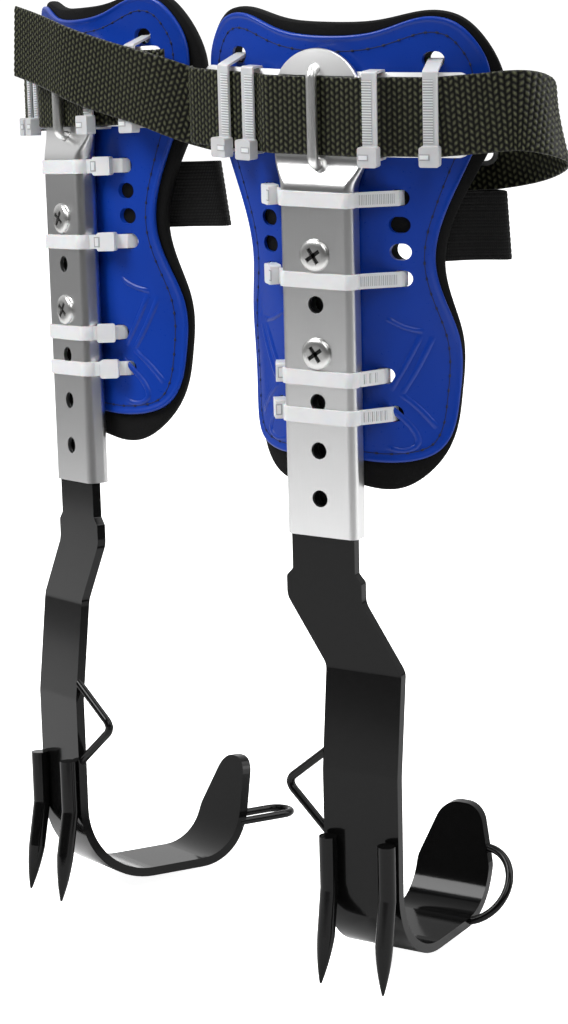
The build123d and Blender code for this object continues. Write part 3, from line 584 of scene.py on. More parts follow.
# %% A smooth line through points
def smooth_line(points, spacing, closed=False):
    """Points at even spacing along a smooth curve through the given points, and the way it runs there."""
    given = np.array([*points, points[0]] if closed else points, float)
    steps = np.linalg.norm(np.diff(given, axis=0), axis=1)
    at = np.concatenate([[0.0], np.cumsum(steps)])
    count = len(given)
    system = np.zeros((count, count))
    pull = np.zeros((count, given.shape[1]))
    for i in range(1, count - 1):
        system[i, i - 1:i + 2] = steps[i - 1], 2 * (steps[i - 1] + steps[i]), steps[i]
        pull[i] = 6 * ((given[i + 1] - given[i]) / steps[i] - (given[i] - given[i - 1]) / steps[i - 1])
    system[0, 0] = system[-1, -1] = 1.0
    if closed:
        system[0, -1] = -1.0
        system[-1, :2] = 2 * steps[0], steps[0]
        system[-1, -2:] += steps[-1], 2 * steps[-1]
        pull[-1] = 6 * ((given[1] - given[0]) / steps[0] - (given[-1] - given[-2]) / steps[-1])
    bend = np.linalg.solve(system, pull)
    total = max(2, round(at[-1] / spacing))
    line, ways = [], []
    for s in np.linspace(0.0, at[-1], total + 1):
        i = min(np.searchsorted(at, s, side="right") - 1, count - 2)
        h, a, b = steps[i], at[i + 1] - s, s - at[i]
        line.append((bend[i] * a**3 + bend[i + 1] * b**3) / (6 * h)
                    + (given[i] / h - bend[i] * h / 6) * a + (given[i + 1] / h - bend[i + 1] * h / 6) * b)
        ways.append((bend[i + 1] * b**2 - bend[i] * a**2) / (2 * h)
                    + (given[i + 1] - given[i]) / h - (bend[i + 1] - bend[i]) * h / 6)
    return [Vector(p) for p in line], [Vector(w).normalized() for w in ways]


print("smooth lines ready")

# %% [markdown]
# ## The webbing straps
# Each strap is one flat band standing on edge. It passes over the flattened end of the tube, lies on
# the cross plate, and curls free at its end. The right strap goes on round a loop, behind the pad and
# across the front of the left iron, as it lies in the picture. A curve with a bevel would give a plain
# ribbon. A mesh along the same route can also have thin, soft edges, raised yarns, and its own length
# and width as a UV map.

# %% Strap lines
SOFT_GAP = 0.2
STRAP_WIDTH = 39.0
STRAP_THICKNESS = 2.2
STRAP_Z = 69.0
STRAP_END = 84.0
RISE_FROM = 60.0
END_RISE = 2.0
LEFT_STRAP_CUT = 80.0
CURL = ((4.0, 28.5), (6.0, 34.0))
STRAP_STEP_LENGTH = 15.0
RUN_STEPS = 42
END_WIDTH = 51.0
END_FRONT = 5.5
END_EASE = 0.25
STAPLE_WIRE = 5.5
PLATE_FRONT = 9.5
PLATE_RADIUS = 225.0
STRAP_FRONT_Y = END_FRONT - SOFT_GAP - STRAP_THICKNESS / 2
TAIL_ROOM = 1.4
KEEPER_EASE = 0.5


def arc_rise(x, radius):
    """How far an arc of this radius has fallen back at x."""
    return radius - math.sqrt(radius**2 - x**2)


def strap_y(x):
    """Depth of the strap's middle at x: over the flattened end, then down onto the plate."""
    part = min(max((abs(x) - END_WIDTH / 2 - END_EASE) / STRAP_STEP_LENGTH, 0.0), 1.0)
    blend = (1 - math.cos(math.pi * part)) / 2
    on_plate = PLATE_FRONT + arc_rise(x, PLATE_RADIUS) - SOFT_GAP - STRAP_THICKNESS / 2
    return STRAP_FRONT_Y * (1 - blend) + on_plate * blend


def strap_z(x):
    """Height of the strap's middle at x: level, then rising a little to its end."""
    return STRAP_Z + END_RISE * max(0.0, (x - RISE_FROM) / (STRAP_END - RISE_FROM))


def front_run(start):
    """Points of a strap's front run, from its start to its end."""
    step = (STRAP_END - start) / RUN_STEPS
    run = [start + i * step for i in range(RUN_STEPS + 1)]
    return [(x, strap_y(x), strap_z(x)) for x in run]


def beside(f, b, z):
    """A point of the left iron's view, f to the viewer's right and b back, in the right iron's frame."""
    return tuple(LEFT_PLACE @ Vector((f, b, z)))


keeper = STRAP_FRONT_Y - STRAP_THICKNESS - STAPLE_WIRE - 2 * SOFT_GAP - TAIL_ROOM
loop = [(98, 31.5, 72), (107, 43, 69), (108, 56, 63), (99, 67, 56), (83, 73, 50)]
behind_pad = [(56, 72, 45), (20, 70, 42), (-20, 69.5, 43), (-56, 67, 51), (-82, 60.5, 59), (-98, 49.5, 65)]
across_left = [beside(80, 14, 66.5), beside(50, 3, 75), beside(24, keeper + KEEPER_EASE, 83),
               beside(0, keeper, 89.5), beside(-36, keeper, 97.5)]
right_curl = [(-STRAP_END - x, y, STRAP_Z) for x, y in reversed(CURL)]
left_curl = [(STRAP_END + x, y, STRAP_Z + END_RISE) for x, y in CURL]
right_route = [*right_curl, *front_run(-STRAP_END), *loop, *behind_pad, *across_left]
left_route = [*front_run(-LEFT_STRAP_CUT), *left_curl]
print("route points:", len(right_route), len(left_route))

# %% Weave the bands
STEPS_PER_COLUMN = 4
STEPS_PER_ROW = 5
BAND_SPACING = YARN_COLUMN / STEPS_PER_COLUMN
YARN_HEIGHT = 0.75
EDGE_SHARE = (0.45, 0.8)


def yarn_height(along, across):
    """How high the yarns stand, from 0 to 1, at places along and across the strap."""
    column = along / YARN_COLUMN
    odd = np.floor(column) % 2
    inside = column - np.floor(column) - 0.5
    row = across / YARN_ROW + 0.5 * odd + YARN_LEAN * inside * (1 - 2 * odd)
    over_row = np.abs(np.sin(np.pi * row)) ** ROW_ROUND
    return over_row * np.cos(np.pi * inside) ** COLUMN_ROUND


def band_places(width, steps):
    """Places across a band, and the share of its thickness there: thinner at its soft edges."""
    places = np.linspace(-width / 2, width / 2, steps + 1)
    share = np.ones(steps + 1)
    share[:2] = EDGE_SHARE
    share[-2:] = EDGE_SHARE[::-1]
    return places, share


def band_piece(name, edges, ways, places, half, spacing, finish, slot, place):
    """A flat band between two edge lines, with a half thickness for every ring and place across it."""
    low = np.array([edge[0] for edge in edges])
    high = np.array([edge[1] for edge in edges])
    middle = (low + high) / 2
    up = (high - low) / np.linalg.norm(high - low, axis=1, keepdims=True)
    out = np.cross(up, np.array(ways))
    out /= np.linalg.norm(out, axis=1, keepdims=True)
    core = middle[:, None] + up[:, None] * places[None, :, None]
    front = core + out[:, None] * half[..., None]
    back = core - out[:, None] * half[..., None]
    points = np.concatenate([front, back[:, ::-1]], axis=1)
    rings, count = points.shape[:2]
    piece = add_piece(name, points.reshape(-1, 3), rod_faces(rings, count), finish, slot, place)
    uvs = np.empty((rings, count, 2))
    uvs[..., 0] = np.arange(rings)[:, None] * spacing * MM
    uvs[..., 1] = np.concatenate([places, places[::-1]]) * MM
    corners = np.empty(len(piece.data.loops), int)
    piece.data.loops.foreach_get("vertex_index", corners)
    layer = piece.data.uv_layers.new(name="band")
    layer.data.foreach_set("uv", uvs.reshape(-1, 2)[corners].ravel())
    return piece, float(np.linalg.norm(np.diff(middle, axis=0), axis=1).sum())


print("band spacing in mm:", round(BAND_SPACING, 3))

# %% Lay the straps
LOOP_LEAN = 0.22
LOOP_FROM = 86.0
LOOP_FULL = 106.0


def strap(name, route, place):
    """One webbing strap along its route, which leans where it goes round its loop."""
    line, ways = smooth_line(route, BAND_SPACING)
    edges = []
    for at, way in zip(line, ways):
        lean = LOOP_LEAN * min(max((at.x - LOOP_FROM) / (LOOP_FULL - LOOP_FROM), 0.0), 1.0)
        up = Vector((-lean, 0.0, 1.0))
        reach = (up - way * way.dot(up)).normalized() * (STRAP_WIDTH / 2)
        edges.append((at - reach, at + reach))
    places, share = band_places(STRAP_WIDTH, round(STRAP_WIDTH / YARN_ROW * STEPS_PER_ROW))
    along = np.arange(len(line))[:, None] * BAND_SPACING
    half = share * (STRAP_THICKNESS / 2 - YARN_HEIGHT * (1 - yarn_height(along, places[None])))
    piece, length = band_piece(
        name + "_webbing", edges, ways, places, half, BAND_SPACING, olive_webbing, "olive_webbing", place)
    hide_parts(name)
    print(name, "length in mm:", round(length))
    return piece, length


right_strap, right_length = strap("right_calf_strap", right_route, RIGHT)
left_strap, left_length = strap("left_calf_strap", left_route, LEFT)

# %% [markdown]
# ## The eyelet's hole
# The strap has a pressed metal eyelet, and light shows through it. A dark disc could stand in for the
# hole, but nothing would show through, so a short rod along the eyelet's axis is cut out of the band.

# %% Cut the hole in the strap
EYELET_BORE = 5.2
EYELET_SIDES = 32
EYELET_PUNCH = 12.0
eyelet_low, eyelet_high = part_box("right_strap_eyelet")
bpy.ops.mesh.primitive_cylinder_add(
    vertices=EYELET_SIDES, radius=EYELET_BORE * MM, depth=EYELET_PUNCH * MM)
punch = bpy.context.object
punch.location = (eyelet_low + eyelet_high) / 2
punch.rotation_euler = (math.radians(90.0), 0.0, 0.0)
cut_out(right_strap, punch)
print("strap faces after the cut:", len(right_strap.data.polygons))

# %% [markdown]
# ## Shells and pads on the leg form
# Shell and pad follow one leg form: an arc at every height, whose radius changes smoothly with the
# height. They could be sculpted, or bent out of a flat plate with modifiers. Here each is a net of rings
# that shrink from its outline to its middle, set on that form at the right depth, because outline, bend
# and edge can then be read from the photograph one by one.

# %% The leg form
LEG_TOP = 130.0
LEG_LOW = -130.0
LEG_RADII = (168.0, 150.0, 130.0, 104.0, 82.0, 80.0, 94.0)
SHELL_FRONT = 13.5
RADIUS_SPACING = 1.0

leg_step = (LEG_TOP - LEG_LOW) / (len(LEG_RADII) - 1)
radius_points = [(LEG_LOW + i * leg_step, r) for i, r in enumerate(reversed(LEG_RADII))]
radius_line, _ = smooth_line(radius_points, RADIUS_SPACING)
RADIUS_Z = [at.x for at in radius_line]
RADIUS_AT_Z = [at.y for at in radius_line]


def leg_radius(z):
    """The radius of the shell's face at a height."""
    return float(np.interp(z, RADIUS_Z, RADIUS_AT_Z))


def in_leg(x, z, depth):
    """A point at a depth behind the shell's face, measured square to the leg form."""
    radius = leg_radius(z)
    turn = math.asin(x / radius)
    return (x - depth * math.sin(turn), SHELL_FRONT + arc_rise(x, radius) + depth * math.cos(turn), z)


print("leg radius at the top, middle and bottom:", [round(leg_radius(z), 1) for z in (LEG_TOP, 0, LEG_LOW)])

# %% A net on the leg form
NET_SPACING = 2.0
NET_RINGS = 26


def outline_of(half, spacing):
    """A closed line round an outline, given from its top middle down its right half, and its ways."""
    other = [(-x, z) for x, z in reversed(half[1:-1])]
    line, ways = smooth_line([*half, *other], spacing, closed=True)
    return line[:-1], ways[:-1]


def fan(tip, start, count):
    """Faces between one point and a ring of points."""
    return [(tip, start + j, start + (j + 1) % count) for j in range(count)]


def leg_net(half, roll):
    """Points and faces of a sheet on the leg form, with a roll of (inset, depth) round its edge."""
    outline, _ = outline_of(half, NET_SPACING)
    count = len(outline)
    first, front = roll[0]
    back = roll[-1][1]
    shares = [(i + 1) / NET_RINGS for i in range(NET_RINGS - 1)]
    face_rings = [(share, first, front) for share in shares]
    roll_rings = [(1, inset, depth) for inset, depth in roll]
    back_rings = [(share, first, back) for share in reversed(shares)]
    points = [in_leg(0.0, 0.0, front)]
    for share, inset, depth in face_rings + roll_rings + back_rings:
        points += [in_leg(*(at * (share * (1 - inset / at.length))), depth) for at in outline]
    points.append(in_leg(0.0, 0.0, back))
    rings = 2 * len(shares) + len(roll)
    last = len(points) - 1
    faces = fan(0, 1, count) + ring_faces(rings, count, start=1) + fan(last, last - count, count)
    return points, faces


print("rings in a net's face:", NET_RINGS)

# %% [markdown]
# ## Vents
# The vents are slots through the shell. Behind some of them the foam is open too, and light shows
# through. They could be left out as gaps in the net, which would have to bend round each of them. A
# punch is simpler: a set of slot-shaped rods, cut out of the finished net in one go.

# %% Vent punches
VENT_SIDES = 24
PUNCH_DEPTH = 110.0
VENT_SIZE = (10.5, 8.4)
SHELL_VENTS = [(mirror * x, z, *VENT_SIZE)
               for x, z in ((37.5, 28.0), (37.5, 14.4), (37.5, 0.8), (37.5, -12.8),
                            (28.0, -62.5), (31.7, -82.0), (55.4, 96.0), (55.4, 64.0))
               for mirror in (-1, 1)]
FOAM_VENTS = [(40.0, 0.8, 16.0, 11.0), (40.0, -12.8, 16.0, 11.0), (29.5, -62.5, 14.0, 10.0),
              (-37.5, -12.8, *VENT_SIZE), (-55.4, 96.0, *VENT_SIZE), (55.4, 96.0, *VENT_SIZE)]


def vent_punch(vents, place):
    """Slot-shaped rods through vents given as x, z, length and height."""
    rods = ([], [])
    for x, z, long, high in vents:
        points = []
        for y in (0.0, PUNCH_DEPTH):
            for i in range(VENT_SIDES):
                turn = 2 * math.pi * (i + 0.5) / VENT_SIDES
                reach = math.copysign((long - high) / 2, math.cos(turn))
                points.append((x + reach + high / 2 * math.cos(turn), y, z + high / 2 * math.sin(turn)))
        join(rods, points, rod_faces(2, VENT_SIDES))
    return new_object("punch", *rods, place)


print("vents in a shell:", len(SHELL_VENTS), "open in the foam:", len(FOAM_VENTS))

# %% [markdown]
# ## The shells
# The shin shell is a plastic moulding with a raised, rounded rim. A bevel would round the edge, but it
# can't raise it, so the net ends in a roll: a row of small steps inwards and forwards that swell to the
# rim and turn round it to the back.

# %% Mould the shells
SHELL_HALF = [(0.0, 107.3), (14.0, 107.8), (28.0, 110.0), (38.0, 113.2), (47.5, 116.2), (56.0, 117.0),
              (66.0, 114.0), (74.4, 105.2), (79.6, 93.5), (80.3, 84.0), (64.9, 35.0), (53.1, -7.0),
              (60.0, -42.0), (59.6, -76.0), (51.5, -102.5), (36.0, -107.2), (0.0, -105.3)]
SHELL_ROLL = [(3.4, 0.0), (2.7, -0.12), (2.0, -0.4), (1.3, -0.52), (0.6, -0.42), (0.15, -0.1),
              (0.0, 0.5), (0.0, 1.6), (0.4, 2.05), (1.4, 2.2)]
SHARP_ANGLE = 40.0


def shin_shell(side_name, place):
    """A moulded shell in place of its plain solid."""
    node = side_name + "_shin_shell"
    shell = add_piece(node + "_moulded", *leg_net(SHELL_HALF, SHELL_ROLL), blue_shell, "blue_shell", place)
    cut_out(shell, vent_punch(SHELL_VENTS, place))
    shell.data.set_sharp_from_angle(angle=math.radians(SHARP_ANGLE))
    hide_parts(node)
    print(shell.name, "faces:", len(shell.data.polygons))


for side_name, place in IRONS.items():
    shin_shell(side_name, place)

# %% [markdown]
# ## The pads
# The pad is closed-cell foam, cut square to its face, and stands out past the shell above, below and at
# the upper sides. Such foam keeps its form, so a cloth simulation would gain nothing. It is the same kind
# of net as the shell, thicker, and its roll only takes the sharpness off the cut edge.

# %% Cut the foam pads
PAD_BEHIND = 2.4
PAD_THICKNESS = 6.5
PAD_HALF = [(0.0, 113.8), (14.0, 114.0), (28.0, 115.2), (38.0, 117.2), (47.5, 119.2), (57.0, 119.8),
            (69.0, 116.3), (77.5, 108.0), (84.0, 96.0), (87.0, 84.0), (71.0, 35.0), (57.6, -7.0),
            (62.6, -42.0), (61.8, -74.0), (55.0, -106.0), (36.0, -121.5), (0.0, -118.5)]
PAD_ROLL = [(3.0, 0.0), (1.0, 0.35), (0.2, 1.3), (0.0, 2.6), (0.0, 3.9), (0.2, 5.2), (1.0, 6.15),
            (3.0, PAD_THICKNESS)]


def foam_pad(side_name, place):
    """A foam pad in place of its plain solid."""
    node = side_name + "_shin_pad"
    roll = [(inset, PAD_BEHIND + depth) for inset, depth in PAD_ROLL]
    pad = add_piece(node + "_foam", *leg_net(PAD_HALF, roll), black_foam, "black_foam", place)
    cut_out(pad, vent_punch(FOAM_VENTS, place))
    pad.data.set_sharp_from_angle(angle=math.radians(SHARP_ANGLE))
    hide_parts(node)
    print(pad.name, "faces:", len(pad.data.polygons))


for side_name, place in IRONS.items():
    foam_pad(side_name, place)

# %% [markdown]
# ## The elastic bands
# A ribbed elastic loop is sewn behind each pad and sticks out past its edge. Its ribs run along it. A
# bump alone would leave its outline flat, so the section across the band is a row of small waves. The
# band runs between two edge lines, because the pad it leaves bends more at one edge than at the other.

# %% Elastic loops
ELASTIC_WIDTH = 35.0
ELASTIC_THICKNESS = 1.6
ELASTIC_Z = 11.5
ELASTIC_REACH = 21.0
ELASTIC_GAP = 1.0
ELASTIC_FOLD = 6.0
ELASTIC_EDGE = 59.0
ELASTIC_RIBS = 12
ELASTIC_SPACING = 1.2
ELASTIC_SEAT = (12.0, 6.0, 0.0)
ELASTIC_SLOPE = 0.55
ELASTIC_TIP = ((-6.0, -3.5), (0.0, 0.0), (-4.0, 4.5), (-12.0, 3.0))
ELASTIC_OPEN = 2.0
STEPS_PER_RIB = 4
RIB_SHARE = 0.28


def elastic_edge(z):
    """One edge of the elastic: along the pad, out past it, folded and back."""
    pad_back = PAD_BEHIND + PAD_THICKNESS
    radius = leg_radius(z) - pad_back
    rest = SHELL_FRONT + pad_back + ELASTIC_GAP + ELASTIC_THICKNESS / 2
    seat = [(ELASTIC_EDGE - x, rest + arc_rise(ELASTIC_EDGE - x, radius)) for x in ELASTIC_SEAT]
    tip_x, tip_y = ELASTIC_EDGE + ELASTIC_REACH, seat[-1][1] + ELASTIC_SLOPE * ELASTIC_REACH
    fold = [(tip_x + x, tip_y + y) for x, y in ELASTIC_TIP]
    back = [(x + ELASTIC_OPEN, y + ELASTIC_FOLD) for x, y in reversed(seat[:2])]
    return [(x, y, z) for x, y in seat + fold + back]


def ribbed_section(width, thickness, ribs):
    """Places across a ribbed band, and its half thickness there."""
    places = np.linspace(-width / 2, width / 2, STEPS_PER_RIB * ribs + 1)
    rib = np.abs(np.sin(np.pi * ribs * (places / width + 0.5)))
    return places, thickness / 2 * (1 - RIB_SHARE + RIB_SHARE * rib)


def elastic(side_name, place):
    """One ribbed elastic loop in place of its plain band."""
    lower, ways = smooth_line(elastic_edge(ELASTIC_Z - ELASTIC_WIDTH / 2), ELASTIC_SPACING)
    upper, _ = smooth_line(elastic_edge(ELASTIC_Z + ELASTIC_WIDTH / 2), ELASTIC_SPACING)
    upper = [upper[round(i * (len(upper) - 1) / (len(lower) - 1))] for i in range(len(lower))]
    places, section = ribbed_section(ELASTIC_WIDTH, ELASTIC_THICKNESS, ELASTIC_RIBS)
    half = np.tile(section, (len(lower), 1))
    node = side_name + "_elastic_band"
    piece, length = band_piece(
        node + "_ribbed", list(zip(lower, upper)), ways, places, half, ELASTIC_SPACING,
        black_elastic, "black_elastic", place)
    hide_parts(node)
    print(node, "length in mm:", round(length))


# Both loops stick out at the viewer's right, so the left one isn't mirrored.
elastic("right", RIGHT)
elastic("left", BESIDE)

# %% [markdown]
# ## Stitching on the shells
# A sewn line runs round each shell a little inside its rim: a fine dark line with the thread's dots on
# it. It could be painted, but stitches catch light, so they are small rounded beads on a thin navy rod,
# which paints the shade of the stitch groove. The line is the shell's outline moved inwards, with each of
# its points set on the shell's face.

# %% Stitch lines
STITCH_INSETS = ((-60.0, 20.0, 70.0), (4.6, 5.0, 7.6))
STITCH_STEP = 1.5
STITCH_EVERY = 5
STITCH_LENGTH = 2.0
STITCH_RADIUS = 0.6
GROOVE_SHADE_RADIUS = 0.22
RING_SIDES = 6
BEAD_RINGS = ((-0.5, 0.05), (-0.42, 0.6), (-0.25, 1.0), (0.25, 1.0), (0.42, 0.6), (0.5, 0.05))


def round_ring(middle, way, radius):
    """Points of a small ring about a place, square to a way."""
    first = way.cross(Vector((0.0, 1.0, 0.0))).normalized()
    second = way.cross(first)
    turns = [2 * math.pi * j / RING_SIDES for j in range(RING_SIDES)]
    return [middle + (first * math.cos(turn) + second * math.sin(turn)) * radius for turn in turns]


def way_at(line, i):
    """The way that a closed line runs at one of its points."""
    return (line[(i + 1) % len(line)] - line[i - 1]).normalized()


def groove_shade_rod(line, radius):
    """Points and faces of a thin round rod along a closed line, which paints the shade of the stitch groove.
    """
    points = []
    for i, at in enumerate(line):
        points += round_ring(at, way_at(line, i), radius)
    open_faces = ring_faces(len(line) + 1, RING_SIDES)
    return points, [tuple(k % len(points) for k in face) for face in open_faces]


def bead(at, way, length, radius):
    """Points and faces of a small rounded stitch lying along a way."""
    points = []
    for share, width in BEAD_RINGS:
        points += round_ring(at + way * (share * length), way, width * radius)
    return points, rod_faces(len(BEAD_RINGS), RING_SIDES)


def stitching(side_name, place):
    """The groove's rod of painted shade and the stitches of one shell."""
    line = []
    for at, way in zip(*outline_of(SHELL_HALF, STITCH_STEP)):
        spot = at + Vector((way.y, -way.x)) * float(np.interp(at.y, *STITCH_INSETS))
        line.append(Vector(in_leg(spot.x, spot.y, 0.0)))
    # A thin navy rod along the line paints the shade of the stitch groove.
    groove_and_stitches = groove_shade_rod(line, GROOVE_SHADE_RADIUS)
    stitches = range(0, len(line), STITCH_EVERY)
    for i in stitches:
        join(groove_and_stitches, *bead(line[i], way_at(line, i), STITCH_LENGTH, STITCH_RADIUS))
    add_piece(side_name + "_shell_stitching", *groove_and_stitches, thread_and_groove_shade, "blue_shell", place)
    print(side_name, "stitches:", len(stitches))


for side_name, place in IRONS.items():
    stitching(side_name, place)

# %% [markdown]
# ## Moulded ridges
# Low ridges are moulded into the lower half of the shell on both sides of the tube. Moving the shell's
# own points would need a much finer net. So each ridge is a strip of its own, with a rounded top, that
# follows the shell's face and fades out at its ends.

# %% Ridges on the lower shell
RIDGE_WIDTH = 3.2
RIDGE_HEIGHT = 0.8
RIDGE_STEP = 1.2
RIDGE_FADE = 4
RIDGE_LEAST = 0.05
RIDGE_SECTION = ((-0.5, -0.3), (-0.3, 0.6), (0.0, 1.0), (0.3, 0.6), (0.5, -0.3))
RIDGES = [
    [(31.0, -70.0), (38.0, -57.0), (45.0, -42.0)],
    [(36.0, -72.0), (43.0, -59.0), (50.0, -43.0)],
    [(36.0, -72.0), (43.0, -79.0), (51.0, -90.0)],
    [(27.0, -75.0), (36.0, -84.0), (42.0, -92.0), (43.0, -98.0), (38.0, -101.0), (29.0, -99.0)],
    [(30.0, -33.0), (39.0, -38.0), (46.0, -40.0)],
]


def ridge(route):
    """Points and faces of one ridge along a route drawn on the shell's face."""
    line, ways = smooth_line(route, RIDGE_STEP)
    last = len(line) - 1
    count = len(RIDGE_SECTION)
    points, faces = [], []
    for i, (at, way) in enumerate(zip(line, ways)):
        fade = math.sin(math.pi * min(1.0, RIDGE_FADE * min(i, last - i) / last) / 2)
        sideways = Vector((-way.y, way.x))
        for share, rise in RIDGE_SECTION:
            spot = at + sideways * (share * RIDGE_WIDTH)
            points.append(in_leg(spot.x, spot.y, -rise * RIDGE_HEIGHT * max(fade, RIDGE_LEAST)))
        if i > 0:
            base = len(points) - 2 * count
            for a in range(base, base + count - 1):
                faces.append((a, a + 1, a + 1 + count, a + count))
    return points, faces


def moulded_ridges(side_name, place):
    """All ridges of one shell, on both sides of its tube."""
    ridges = ([], [])
    for mirror in (1, -1):
        for route in RIDGES:
            join(ridges, *ridge([(mirror * x, z) for x, z in route]))
    add_piece(side_name + "_shell_ridges", *ridges, blue_shell, "blue_shell", place)
    print(side_name, "ridge faces:", len(ridges[1]))


for side_name, place in IRONS.items():
    moulded_ridges(side_name, place)

# %% [markdown]
# ## Ladder and catch of the ties
# A tie's band carries a ladder: bright bars over a low bed of darker nylon, which paints the shade
# between them. Its head has a small window, a darker sheet that paints its shade, with the catch in it. A
# striped image would do from far away. Small blocks also show from the side, and they rest on the tie's
# outer face, found by rays sent back from the front of the iron.

# %% Rays and blocks
RAY_START = -150.0
BLOCK_SUNK = 0.1
END_FACE = 0.9
BLOCK_FACES = [(0, 1, 3, 2), (4, 6, 7, 5), (0, 4, 5, 1), (2, 3, 7, 6), (0, 2, 6, 4), (1, 5, 7, 3)]


def surface_of(node):
    """A node's surface, ready for rays."""
    mesh = nodes[node].data
    mesh.calc_loop_triangles()
    triangles = [tuple(t.vertices) for t in mesh.loop_triangles]
    return BVHTree.FromPolygons([v.co for v in mesh.vertices], triangles)


def front_hit(surface, place, x, z):
    """Where a line going back at x and z of an iron meets a surface, in that iron's frame."""
    start = place @ Vector((x, RAY_START, z))
    back = (place.to_3x3() @ Vector((0.0, 1.0, 0.0))).normalized()
    hit, normal, _, _ = surface.ray_cast(start, back)
    if hit is None:
        return None, None
    inverse = place.inverted()
    return inverse @ hit, (inverse.to_3x3() @ normal).normalized()


def add_block(piece, middle, sides):
    """Add one small block, from its middle and its three half sides, to a growing piece."""
    a, b, c = sides
    corners = [middle + a * i + b * j + c * k for i in (-1, 1) for j in (-1, 1) for k in (-1, 1)]
    join(piece, corners, BLOCK_FACES)


def on_face(piece, surface, place, x, z, along, size):
    """A block on a tie's face at x and z: its size is across the tie, along it and proud of it."""
    hit, normal = front_hit(surface, place, x, z)
    if hit is None or normal.dot(along) > END_FACE:
        return
    run = (along - normal * along.dot(normal)).normalized()
    across = run.cross(normal)
    wide, long, proud = size
    add_block(piece, hit + normal * (proud / 2 - BLOCK_SUNK),
              (across * (wide / 2), run * (long / 2), normal * (proud / 2 + BLOCK_SUNK)))


print("faces of a block:", len(BLOCK_FACES))

# %% Tie details
BAR_PITCH = 1.3
BAR_SIZE = (5.0, 0.6, 0.34)
BED_WIDTH = 5.0
BED_PROUD = 0.06
BED_OVERLAP = 1.02
WINDOW = (5.6, 3.2, 0.12)
CATCH = (4.4, 2.0, 0.4)
STRAP_TIE_X = (-58.0, -41.0, 30.0, 58.0)
STRAP_LADDER = (57.0, 87.0)
STRAP_HEAD_Z = 50.3
SHANK_TIES = [(37.5, 28.0), (37.5, -12.8), (28.0, -62.5), (31.7, -82.0)]
TUBE_SIDE = 21.2
SHANK_LADDER = (23.2, -1.5)


def ladder(bars, bed, surface, place, start, end, along):
    """Bars and their bed along a tie's run, from one place to another; the bed's darker nylon paints shade.
    """
    count = max(1, int((Vector(end) - Vector(start)).length / BAR_PITCH))
    for i in range(count + 1):
        x, z = Vector(start).lerp(Vector(end), i / count)
        on_face(bars, surface, place, x, z, along, BAR_SIZE)
        on_face(bed, surface, place, x, z, along, (BED_WIDTH, BAR_PITCH * BED_OVERLAP, BED_PROUD))


def tie_head(bars, bed, surface, place, x, z, along):
    """The window and the catch of a tie's head; the window's darker nylon paints its shade."""
    on_face(bed, surface, place, x, z, along, WINDOW)
    on_face(bars, surface, place, x, z, along, CATCH)


def tie_details(side_name, place):
    """Ladders, windows and catches of all ties of one iron."""
    bars, bed = ([], []), ([], [])
    # The strap's ties stand in the same order on both irons, so the left iron's mirror is undone.
    mirror = 1 if side_name == "right" else -1
    up, over = Vector((0.0, 0.0, 1.0)), Vector((1.0, 0.0, 0.0))
    for number, tie_x in enumerate(STRAP_TIE_X, 1):
        surface = surface_of(f"{side_name}_strap_tie_{number}")
        x = mirror * tie_x
        ladder(bars, bed, surface, place, (x, STRAP_LADDER[0]), (x, STRAP_LADDER[1]), up)
        tie_head(bars, bed, surface, place, x, STRAP_HEAD_Z, up)
    for number, (vent_x, z) in enumerate(SHANK_TIES, 1):
        surface = surface_of(f"{side_name}_shank_tie_{number}")
        ladder(bars, bed, surface, place, (SHANK_LADDER[0], z), (vent_x + SHANK_LADDER[1], z), over)
        tie_head(bars, bed, surface, place, -(TUBE_SIDE + vent_x) / 2, z, over)
    add_piece(side_name + "_tie_bars", *bars, white_nylon, "white_nylon", place, smooth=False)
    # The beds and windows take the darker nylon, which paints their shade.
    add_piece(side_name + "_tie_beds", *bed, painted_shade_nylon, "white_nylon", place, smooth=False)
    print(side_name, "tie blocks:", (len(bars[1]) + len(bed[1])) // len(BLOCK_FACES))


for side_name, place in IRONS.items():
    tie_details(side_name, place)

# %% [markdown]
# ## Turned screws
# A screw is turned on a lathe, and so is this one: a profile of a flat head with a rounded rim, and its
# shank, goes round the axis. A screw modifier would do the same, but here the points are at hand for the
# cross, which is cut into the head. A near-black block fills the bottom of the cross and paints the shade
# in its recess. Screw and block ride on the screw's own body, so they come out together.

# %% Turned screws
SCREW_SHANK = 3.9
SCREW_HEAD = [(0.0, -2.4), (4.8, -2.35), (6.7, -2.05), (7.8, -1.4), (8.25, -0.6), (8.25, 0.0),
              (SCREW_SHANK, 0.0)]
SCREW_SIDES = 48
CROSS_TURNS = (35.0, 125.0)
CROSS_LONG = 9.0
CROSS_WIDE = 2.1
CROSS_TOP = -3.0
CROSS_LOW = -0.8
CROSS_FLOOR = -1.7
CROSS_PLAY = 0.02
BLOCK_CORNERS = 8
screw_low, screw_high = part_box("right_lower_screw")
LOWER_SCREW_Z = ((screw_low.z + screw_high.z) / 2 - home.z) / MM
SCREW_BACK = (screw_high.y - home.y) / MM


def turned_piece(profile, z):
    """Points and faces of a turned piece, from radii and depths, with its axis at a height."""
    points = [(0.0, profile[0][1], z)]
    for radius, y in profile[1:-1]:
        for i in range(SCREW_SIDES):
            turn = 2 * math.pi * i / SCREW_SIDES
            points.append((radius * math.cos(turn), y, z + radius * math.sin(turn)))
    points.append((0.0, profile[-1][1], z))
    last = len(points) - 1
    sides = ring_faces(len(profile) - 2, SCREW_SIDES, start=1)
    return points, fan(0, 1, SCREW_SIDES) + sides + fan(last, last - SCREW_SIDES, SCREW_SIDES)


